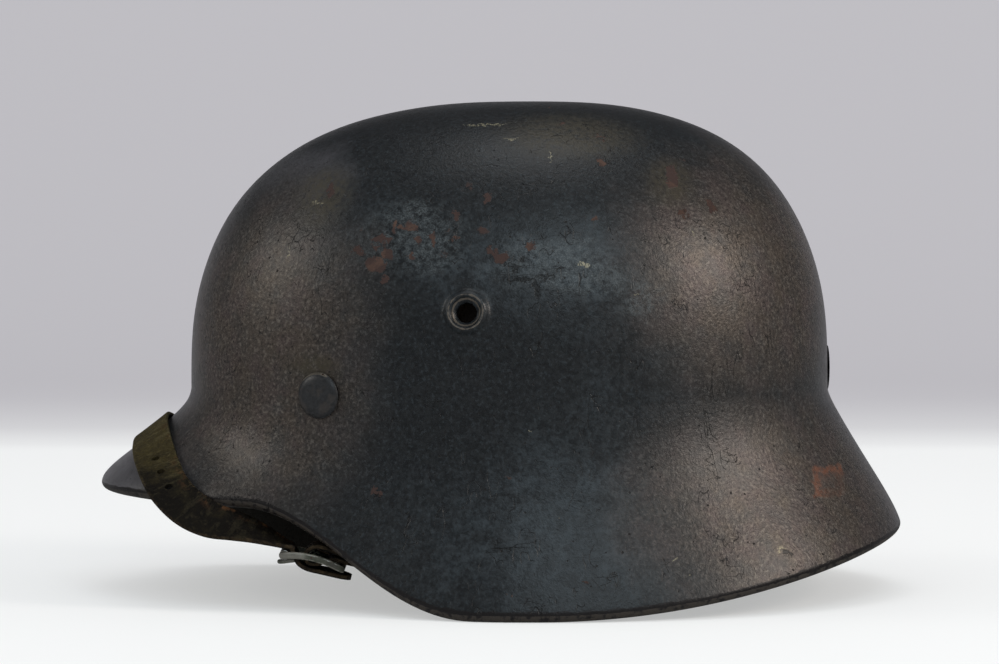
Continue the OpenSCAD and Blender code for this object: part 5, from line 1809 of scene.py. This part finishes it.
@dataclass
class Bails:
    """The two bails with their clips; each carries one end of the chinstrap."""

    form: HelmetForm = FORM
    angle: float = 97.0
    hinge_inset: float = 5.78
    hinge_height: float = 58.116
    drop: float = 12.0
    bar: float = 2.2
    inside: float = 20.0
    clip_width: float = 18.0
    clip_sheet: float = 0.7
    clip_radius: float = 1.53
    clip_top: float = 16.4

    def place(self, side: int) -> Place:
        """A bail's hinge: x forwards along the band, y out of the helmet, z up."""
        a = side * self.angle
        out = self.form.normal(np.array(a))
        ahead = np.cross(out, UP)
        return Place(self.form.inset(a, self.hinge_inset, self.hinge_height), ahead, out, UP)

    def build(self) -> list[bpy.types.Object]:
        """Makes clips and bails."""
        made = []
        for side, word in SIDES:
            place = self.place(side)
            clip, bail = f"bail_clip_{word}", f"bail_{word}"
            made.append(dress(clip, [self.clip(place)], BAIL_STEEL))
            made.append(dress(bail, [self.loop(place)], BAIL_STEEL, bail))
        return made

    def clip(self, place: Place) -> Part:
        """A strip that comes down the band and curls round the bail's upper bar."""
        turn = np.linspace(0, -305, 40)
        y = np.concatenate([np.full(12, self.clip_radius), self.clip_radius * cosd(turn)])
        z = np.concatenate([np.linspace(self.clip_top, 0.3, 12), self.clip_radius * sind(turn)])
        section = rounded_box(self.clip_width, self.clip_sheet, 0.2, 2)
        return sweep(place.points(0.0, y, z), place.x, section)

    def loop(self, place: Place) -> Part:
        """A flat loop with round corners, swept with a softened bar."""
        middle_z = -self.drop / 2
        corner = rounded_box(self.inside + self.bar, self.drop, 2.4, 8)
        path = spline(corner, 3, closed=True)
        section = rounded_box(self.bar, self.bar * 0.8, 0.78, 4)
        return sweep(place.points(path[:, 0], 0.0, middle_z + path[:, 1]), place.y,
                     section[:, ::-1], closed=True, marks={"edge": np.full(len(section), 0.35)})


@dataclass
class Buckle:
    """The roller buckle: a bowed frame, two bars, a roller and a prong."""

    slope: float = 13.6
    centre: tuple[float, float, float] = (-62.0, -75.0, 18.3)
    length: float = 22.6
    opening: float = 16.5
    bar: float = 2.2
    bow: float = 32.0
    roller: float = 3.4
    roller_wall: float = 0.6
    play: float = 0.08
    wire: float = 0.8
    clearance: float = 0.4
    eye_middle: float = 1.18

    @property
    def place(self) -> Place:
        """x forwards along the strap, z out of the buckle's outer side, which looks down."""
        c, s = cosd(self.slope), sind(self.slope)
        return Place(np.array(self.centre), np.array([-c, 0.0, s]), np.array([0.0, 1.0, 0.0]),
                     np.array([-s, 0.0, -c]))

    def bowed(self, reach: Array | float) -> Array:
        """How far the bowed frame lies out at a distance from its middle bar."""
        return self.bow - np.sqrt(self.bow**2 - np.square(reach))

    @property
    def reach(self) -> float:
        """The frame's half length."""
        return self.length / 2 - 0.3

    @property
    def bar_reach(self) -> float:
        """From the middle bar to the front bar."""
        return self.length / 2 - self.roller / 2

    @property
    def bar_out(self) -> float:
        """How far out the front bar lies."""
        return float(self.bowed(self.bar_reach))

    def build(self) -> list[bpy.types.Object]:
        """Makes frame, roller and prong."""
        place = self.place
        return [
            dress("buckle_frame", self.frame_parts(place), BUCKLE_PAINT),
            dress("buckle_roller", [self.roller_part(place)], ROLLER_STEEL,
                  "roller"),
            dress("buckle_prong", [self.prong(place)], BUCKLE_PAINT, "prong"),
        ]

    def frame_parts(self, place: Place) -> list[Part]:
        """The bowed U, open in front, and its two bars."""
        side = self.opening / 2 + self.bar / 2
        rear = self.reach - self.bar / 2
        turn = np.linspace(0, 90, 9)
        r = 2.2
        a = np.concatenate([np.linspace(self.reach - 0.2, -rear + r, 24),
                            -rear + r - r * sind(turn)[1:]])
        y = np.concatenate([np.full(24, -side), -side + r - r * cosd(turn)[1:]])
        a, y = np.concatenate([a, a[::-1]]), np.concatenate([y, -y[::-1]])
        path = place.points(a, y, self.bowed(a))
        out = np.tile(place.z, (len(path), 1))
        section = rounded_box(self.bar, self.bar, 0.75, 4)
        edge = np.hypot(section[:, 0], section[:, 1])
        edge = (edge - edge.min()) / (edge.max() - edge.min()) * 0.65
        end = np.minimum(np.arange(len(path)), np.arange(len(path))[::-1])
        size = 0.72 + 0.28 * np.clip(end / 2.0, 0, 1)
        arms = sweep(path, out, section, scale=np.stack([size, size], 1), marks={"edge": edge})
        middle = rod(place.points(0.0, -side, 0.0), place.points(0.0, side, 0.0), self.bar / 2)
        front = rod(place.points(self.bar_reach, -side - 0.6, self.bar_out),
                    place.points(self.bar_reach, side + 0.6, self.bar_out), self.rod_radius())
        return [arms, middle, front]

    def rod_radius(self) -> float:
        """The front bar's radius inside the roller."""
        return self.roller / 2 - self.roller_wall - self.play

    def roller_part(self, place: Place) -> Part:
        """A thin tube with rounded ends."""
        half = self.opening / 2 - 0.2
        outer, inner = self.roller / 2, self.rod_radius() + self.play
        ring = rounded_box(2 * half, outer - inner, 0.22, 4)
        profile = np.stack([(outer + inner) / 2 + ring[:, 1], ring[:, 0]], 1)
        turned = Place(place.points(self.bar_reach, 0.0, self.bar_out), place.x, -place.z, place.y)
        return revolve(profile, turned, 48, closed=True, marks={"edge": np.full(len(profile), 0.3)})

    def prong(self, place: Place) -> Part:
        """A wire flattened round the middle bar, then round and raised over the roller."""
        turn = np.linspace(290, 0, 40)
        eye = 1.58
        tip_out = self.bar_out + self.roller / 2 + self.wire + self.clearance
        shank = spline([(0.6, eye), (2.4, 1.92), (5.0, 2.72), (7.6, 3.62),
                        (self.bar_reach, tip_out), (11.5, tip_out + 0.55)], 8)
        a = np.concatenate([-eye * sind(turn), shank[:, 0]])
        h = np.concatenate([eye * cosd(turn), shank[:, 1]])
        path = place.points(a, 0.0, h)
        grow = ease(0.0, 1.0, (np.arange(len(a)) - 36) / 14.0)
        tip = np.sqrt(np.clip(1 - ((np.arange(len(a)) - len(a) + 6) / 5.4).clip(0) ** 2, 0.05, 1))
        scale = np.stack([(1.88 - 0.88 * grow) * tip, (0.5 + 0.5 * grow) * tip], 1)
        turn = np.arange(20) * 18.0
        section = self.wire * np.stack([cosd(turn), sind(turn)], 1)
        return sweep(path, place.y, section, scale=scale, marks={"edge": np.full(20, 0.42)})


@dataclass
class Chinstrap:
    """The strap's two halves, each folded and riveted round a bail or the buckle's bar."""

    bails: Bails
    buckle: Buckle
    width: float = 14.5
    thick: float = 1.6
    hole: float = 2.8
    pitch: float = 9.5
    holes: int = 3
    prong_slot: float = 1.3
    prong_lifts: tuple[float, ...] = (0.0, 9.0, 18.0)
    stud_drop: float = 10.0
    stud_back: float = -17.0
    seat: float = 0.2
    left_run: tuple[tuple[float, ...], ...] = (
        (-80, -74.5, 25.4, 0.07, 0.94, 0.32), (-88.5, -73, 27.8, 0.18, 0.83, 0.53),
        (-97, -71, 29.8, 0.39, 0.64, 0.66), (-105, -67.3, 33.8, 0.62, 0.5, 0.6),
        (-111.5, -59.5, 39.4, 0.8, 0.41, 0.44), (-115.8, -48.5, 45.3, 0.87, 0.35, 0.35),
        (-119.4, -32, 51.1, 0.82, 0.3, 0.48), (-121.5, -15.5, 55.1, 0.8, 0.12, 0.59),
    )
    middle: tuple[float, ...] = (-122.1, 0, 56.4, 0.79, 0, 0.61)
    right_inside: tuple[tuple[float, ...], ...] = (
        (-88, 72.5, 20, 0.15, -0.35, 0.92), (-78, 73, 13.2, 0.05, -0.1, 1),
        (-67, 73.4, 9.8, 0, 0, 1), (-55, 74.6, 10.2, 0.05, 0, 1), (-42, 77, 14, 0.25, 0, 0.97),
        (-30, 80.5, 18.5, 0.4, 0, 0.9), (-19.5, 83, 22.5, 0.6, 0, 0.8),
        (-10.5, 84.5, 26, 0.92, 0, 0.4),
    )

    def build(self) -> list[bpy.types.Object]:
        """Makes both halves of the strap and the three studs."""
        short = self.strap("chinstrap_short_form", self.short_route(), self.short_cutters())
        long_line = spline(self.long_route(), 8)
        long = self.strap("chinstrap_long_form", self.long_route(), self.long_cutters(long_line))
        for piece, (side, word) in zip((short, long), SIDES):
            hinge = self.bails.place(side).origin
            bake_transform(piece)
            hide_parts(piece.name.removesuffix("_form"))
            LOG.info("%s: %d faces", piece.name, len(piece.data.polygons))
        return [short, long, *self.studs()]

    def bail_loop(self, side: int) -> list[list[float]]:
        """Up the outside, over the bail's lower bar and down the inside."""
        place = self.bails.place(side).moved(0, 0, -self.bails.drop)
        r = self.bails.bar * 0.7 + self.seat + self.thick / 2
        layer = self.thick / 2 + self.seat / 2
        drop = self.stud_drop
        stations = [(layer, -drop - 5), (layer, -drop), (layer + 0.2, -5), (r, 0),
                    (r * 0.7, r * 0.7), (0, r), (-r * 0.7, r * 0.7), (-r, 0),
                    (-layer - 0.2, -5), (-layer, -drop), (-layer, -drop - 5.5)]
        along = side * self.bails.form.tangent(np.array(side * self.bails.angle))
        return [[*place.points(0.0, y, z), *along] for y, z in stations]

    @property
    def bar_layer(self) -> float:
        """The layer of strap on the inner side of the buckle's rear bar."""
        b = self.buckle
        return float(b.bowed(b.reach - b.bar)) - b.bar / 2 - self.seat - self.thick / 2

    @property
    def arch_layer(self) -> float:
        """The layer above it, which arches over the middle bar."""
        return self.bar_layer - self.thick - self.seat

    @property
    def fold(self) -> float:
        """The radius of a fold round the middle bar."""
        return self.buckle.bar / 2 + self.buckle.play + self.seat + self.thick / 2

    def on_buckle(self, stations: Sequence[tuple[float, float]]) -> list[list[float]]:
        """Stations along and out of the buckle, as points with the width's direction."""
        place = self.buckle.place
        return [[*place.points(a, 0.0, h), *place.y] for a, h in stations]

    def short_route(self) -> list[list[float]]:
        """The short half: from the bail to the buckle, round its bar and back."""
        arch, bar, back, fold = self.arch_layer, self.bar_layer, self.stud_back, self.fold
        return (
            self.bail_loop(-1)
            + [[-11.5, -84.6, 26.5, 0.8, 0, -0.6], [-20, -82, 20.5, 0.6, 0.5, -0.6],
               [-28.5, -78.5, 17.5, 0.3, 0.9, -0.3]]
            + self.on_buckle([
                (-24, arch + 0.3), (back - 3, arch), (back, arch), (-10.5, arch),
                (-6, arch - 0.7), (-2.6, arch - 1.1), (0.6, arch - 0.6), (2.5, -1.3),
                (fold + 0.3, 0.4), (1.9, 1.7), (0.2, fold + 0.1), (-1.9, 1.7), (-4.3, 0.3),
                (-7, bar - 0.1), (-10.5, bar), (back, bar), (back - 4, bar)]))

    def tail_route(self) -> list[list[float]]:
        """The long half's tail: under the frame's bars, then up over the roller."""
        b = self.buckle
        hump = self.fold + self.thick + 0.4
        tail = float(b.bowed(b.reach)) + b.bar / 2 + self.seat + self.thick / 2
        over = b.bar_out - b.roller / 2 - self.seat - self.thick / 2
        return self.on_buckle([
            (-13.6, tail + 0.1), (-12, tail + 0.1), (-10.5, tail + 0.1), (-5, hump),
            (0, hump + 0.1), (2.6, hump - 0.3), (4.6, 2.9), (6.2, 0.9), (8, over + 0.2),
            (b.bar_reach, over)])

    def long_route(self) -> list[list[float]]:
        """The long half: tail, roller, round the visor, back inside and up to its bail."""
        mirrored = [[x, -y, z - 0.32 * max(0.0, x + 111.0), dx, -dy, dz]
                    for x, y, z, dx, dy, dz in self.left_run[:1:-1]]
        return (self.tail_route() + [list(s) for s in self.left_run] + [list(self.middle)]
                + mirrored + [list(s) for s in self.right_inside] + self.bail_loop(1)[::-1])

    def section(self) -> Array:
        """The strap's section: softened corners and a slightly cupped face."""
        outline = rounded_box(self.width, self.thick, 0.55, 4)
        top = np.linspace(self.width / 2 - 0.9, -self.width / 2 + 0.9, 9)[1:-1]
        outline = np.vstack([outline[:5], np.stack([top, np.full(7, self.thick / 2)], 1),
                             outline[5:15], np.stack([-top, np.full(7, -self.thick / 2)], 1),
                             outline[15:]])
        cup = 0.10 * (1 - (2 * outline[:, 0] / self.width) ** 2)
        return outline + np.stack([np.zeros(len(outline)), cup], 1)

    def strap(self, name: str, route: list[list[float]],
              cutters: Sequence[Part]) -> bpy.types.Object:
        """Sweeps the section along a route and punches it.

        Args:
            name: The piece's name.
            route: Stations with the width's direction.
            cutters: What is punched out.

        Returns:
            The object, not yet tied to its bodies.
        """
        line = spline(route, 8)
        path, side = line[:, :3], line[:, 3:]
        section = self.section()
        run = run_length(path)
        ends = np.minimum(run, run[-1] - run)
        narrow = np.sqrt(np.clip(1 - ((5.0 - ends) / 5.2).clip(0) ** 2, 0.04, 1))
        swell = 1 + 0.018 * np.sin(run / 3.1) + 0.012 * np.sin(run / 1.3 + 1)
        scale = np.stack([narrow * (1 + 0.006 * np.sin(run / 2.2)), swell], 1)
        flesh = (section[:, 1] > 0.3).astype(float)
        part = sweep(path, side, section, scale=scale, marks={"flesh": flesh})
        strap = make_piece(name, [part], STRAP_LEATHER, None, sharp=50.0)
        cut_away(strap, cutters, 50.0)
        return strap

    def short_cutters(self) -> list[Part]:
        """The slot at the fold, which lets the prong's eye through."""
        place = self.buckle.place
        corner = rounded_box(11.0, 4.2, 1.2, 4)
        path = place.points(0.0, 0.0, np.array([-2.2, 4.6])) + 2.3 * place.x
        return [sweep(path, place.x, corner)]

    def long_cutters(self, line: Array) -> list[Part]:
        """The row of punched holes, and a slot that the prong goes through at each lift."""
        path, side = line[:, :3], line[:, 3:]
        run = run_length(path)
        start = run[8 * (len(self.tail_route()) - 1)] + 5 * self.pitch
        made = []
        for distance in start + self.pitch * np.arange(self.holes):
            k = int(np.searchsorted(run, distance))
            ahead = unit(path[k + 1] - path[k - 1])
            face = np.cross(ahead, unit(side[k] - side[k] @ ahead * ahead))
            made.append(bar_cutter(path[k], face, self.hole / 2, 3.0))
        b, place = self.buckle, self.buckle.place
        rise = math.atan((b.bar_out + b.roller / 2 + b.wire + b.clearance - b.eye_middle)
                         / b.bar_reach)
        for lift in self.prong_lifts:
            turn = math.radians(lift)
            eye = b.eye_middle
            root = place.points(-eye * math.sin(turn), 0.0, eye * math.cos(turn))
            ahead = math.cos(rise + turn) * place.x + math.sin(rise + turn) * place.z
            made.append(rod(root, root + ahead * (b.bar_reach + 3), self.prong_slot, 24, 0.01))
        return made

    def studs(self) -> list[bpy.types.Object]:
        """The three studs that close the folds."""
        made = []
        for side, word in SIDES:
            place = self.bails.place(side).moved(0, 0, -self.bails.drop - self.stud_drop)
            name = f"strap_stud_{word}"
            turned = Place(place.origin, place.x, -place.z, place.y)
            made.append(dress(name, self.stud(turned), RIVET_STEEL, f"bail_{word}"))
        place = self.buckle.place.moved(self.stud_back, 0, (self.arch_layer + self.bar_layer) / 2)
        made.append(dress("strap_stud_buckle", self.stud(place), RIVET_STEEL))
        return made

    def stud(self, place: Place) -> list[Part]:
        """A shank with a domed head at each end."""
        half = (2 * self.thick + 3 * self.seat) / 2
        head = spline([(0, 1.22), (1.1, 1.14), (2.2, 0.86), (2.9, 0.5), (3.2, 0.2), (3.1, 0.0)], 4)
        head[0, 0] = 0.0
        profile = np.vstack([head + [0, half], [[1.5, half], [1.5, 0.0], [0.0, 0.0]]])
        return riveted(profile, place, place, 40, np.full(len(head), 0.5))


@dataclass(frozen=True)
class Lamp:
    """A soft square lamp that looks at a point."""

    name: str
    place: Point
    aim: Point
    size: float
    power: float
    colour: Colour = (1.0, 1.0, 1.0)

    def make(self) -> None:
        """Adds the lamp to the scene."""
        data = bpy.data.lights.new(self.name, "AREA")
        data.size, data.energy, data.color = self.size, self.power, self.colour
        lamp = bpy.data.objects.new(self.name, data)
        lamp.location = self.place
        way = np.array(self.aim) - np.array(self.place)
        flat = math.hypot(way[0], way[1])
        lamp.rotation_euler = (math.atan2(flat, -way[2]), 0.0, math.atan2(-way[0], way[1]))
        bpy.context.scene.collection.objects.link(lamp)


@dataclass(frozen=True)
class Studio:
    """Camera, lamps, world, floor and backdrop."""

    eye: Point = (-0.0005, -1.400, 0.150)
    pitch: float = 2.481
    lens: float = 144.14
    sensor: float = 36.0
    lamps: tuple[Lamp, ...] = (
        Lamp("left lamp", (-1.40, -0.05, 0.80), (-0.03, 0.0, 0.09), 0.45, 3.0, (1.0, 0.96, 0.89)),
        Lamp("right lamp", (1.32, -0.48, 0.80), (0.05, 0.0, 0.09), 0.45, 8.0, (1.0, 0.91, 0.83)),
        Lamp("top lamp", (0.05, 0.25, 1.7), (0.0, 0.0, 0.1), 0.7, 2.2),
        Lamp("front lamp", (0.33, -1.14, 1.16), (0.0, 0.0, 0.08), 0.5, 2.4, (0.78, 0.92, 1.0)),
    )
    sky: Colour = (0.95, 0.97, 1.0)
    sky_strength: float = 0.95
    gloss_strength: float = 0.05

    def build(self) -> None:
        """Sets the whole scene round the helmet."""
        camera = bpy.data.objects.new("camera", bpy.data.cameras.new("camera"))
        camera.data.lens, camera.data.sensor_width = self.lens, self.sensor
        camera.location = self.eye
        camera.rotation_euler = (math.radians(90.0 - self.pitch), 0.0, 0.0)
        bpy.context.scene.collection.objects.link(camera)
        bpy.context.scene.camera = camera
        for lamp in self.lamps:
            lamp.make()
        world = bpy.data.worlds.new("studio")
        bpy.context.scene.world = world
        world.use_nodes = True
        graph = Graph(world.node_tree)
        backdrop = world.node_tree.nodes["Background"]
        backdrop.inputs["Color"].default_value = (*self.sky, 1.0)
        glossy = graph.node("ShaderNodeLightPath").outputs["Is Glossy Ray"]
        graph.feed(backdrop.inputs["Strength"],
                   graph.between(glossy, self.sky_strength, self.gloss_strength))
        bpy.context.scene.view_settings.view_transform = "Standard"
        self.ground()

    def ground(self) -> None:
        """A floor that curves up into a backdrop behind the helmet."""
        depth = np.array([-2600.0, -1200, -400, 0, 400, 700])
        turn = np.linspace(0, 90, 13)[1:]
        y = np.concatenate([depth, 700 + 500 * sind(turn), [1200.0, 1200]])
        z = np.concatenate([np.zeros(6), 500 - 500 * cosd(turn), [1400.0, 3000]])
        x = np.linspace(-3000, 3000, 9)
        points = np.stack(np.broadcast_arrays(x[None, :], y[:, None], z[:, None]), -1)
        part = grid(points, closed_columns=False, ends=(End.OPEN, End.OPEN), solid=False)
        ground = make_piece("ground", [part], GROUND, None)


def main() -> None:
    """Builds the sub-assemblies in order and reports each piece."""
    logging.basicConfig(level=logging.INFO, format="%(name)s: %(message)s")
    Studio().build()
    bails, buckle = Bails(), Buckle()
    for assembly in (Shell(), SplitPins(), LinerBands(), LeatherLiner(), bails, buckle,
                     Chinstrap(bails, buckle)):
        made = assembly.build()
        LOG.info("%s: %d pieces", type(assembly).__name__, len(made))


if __name__ == "__main__":
    main()
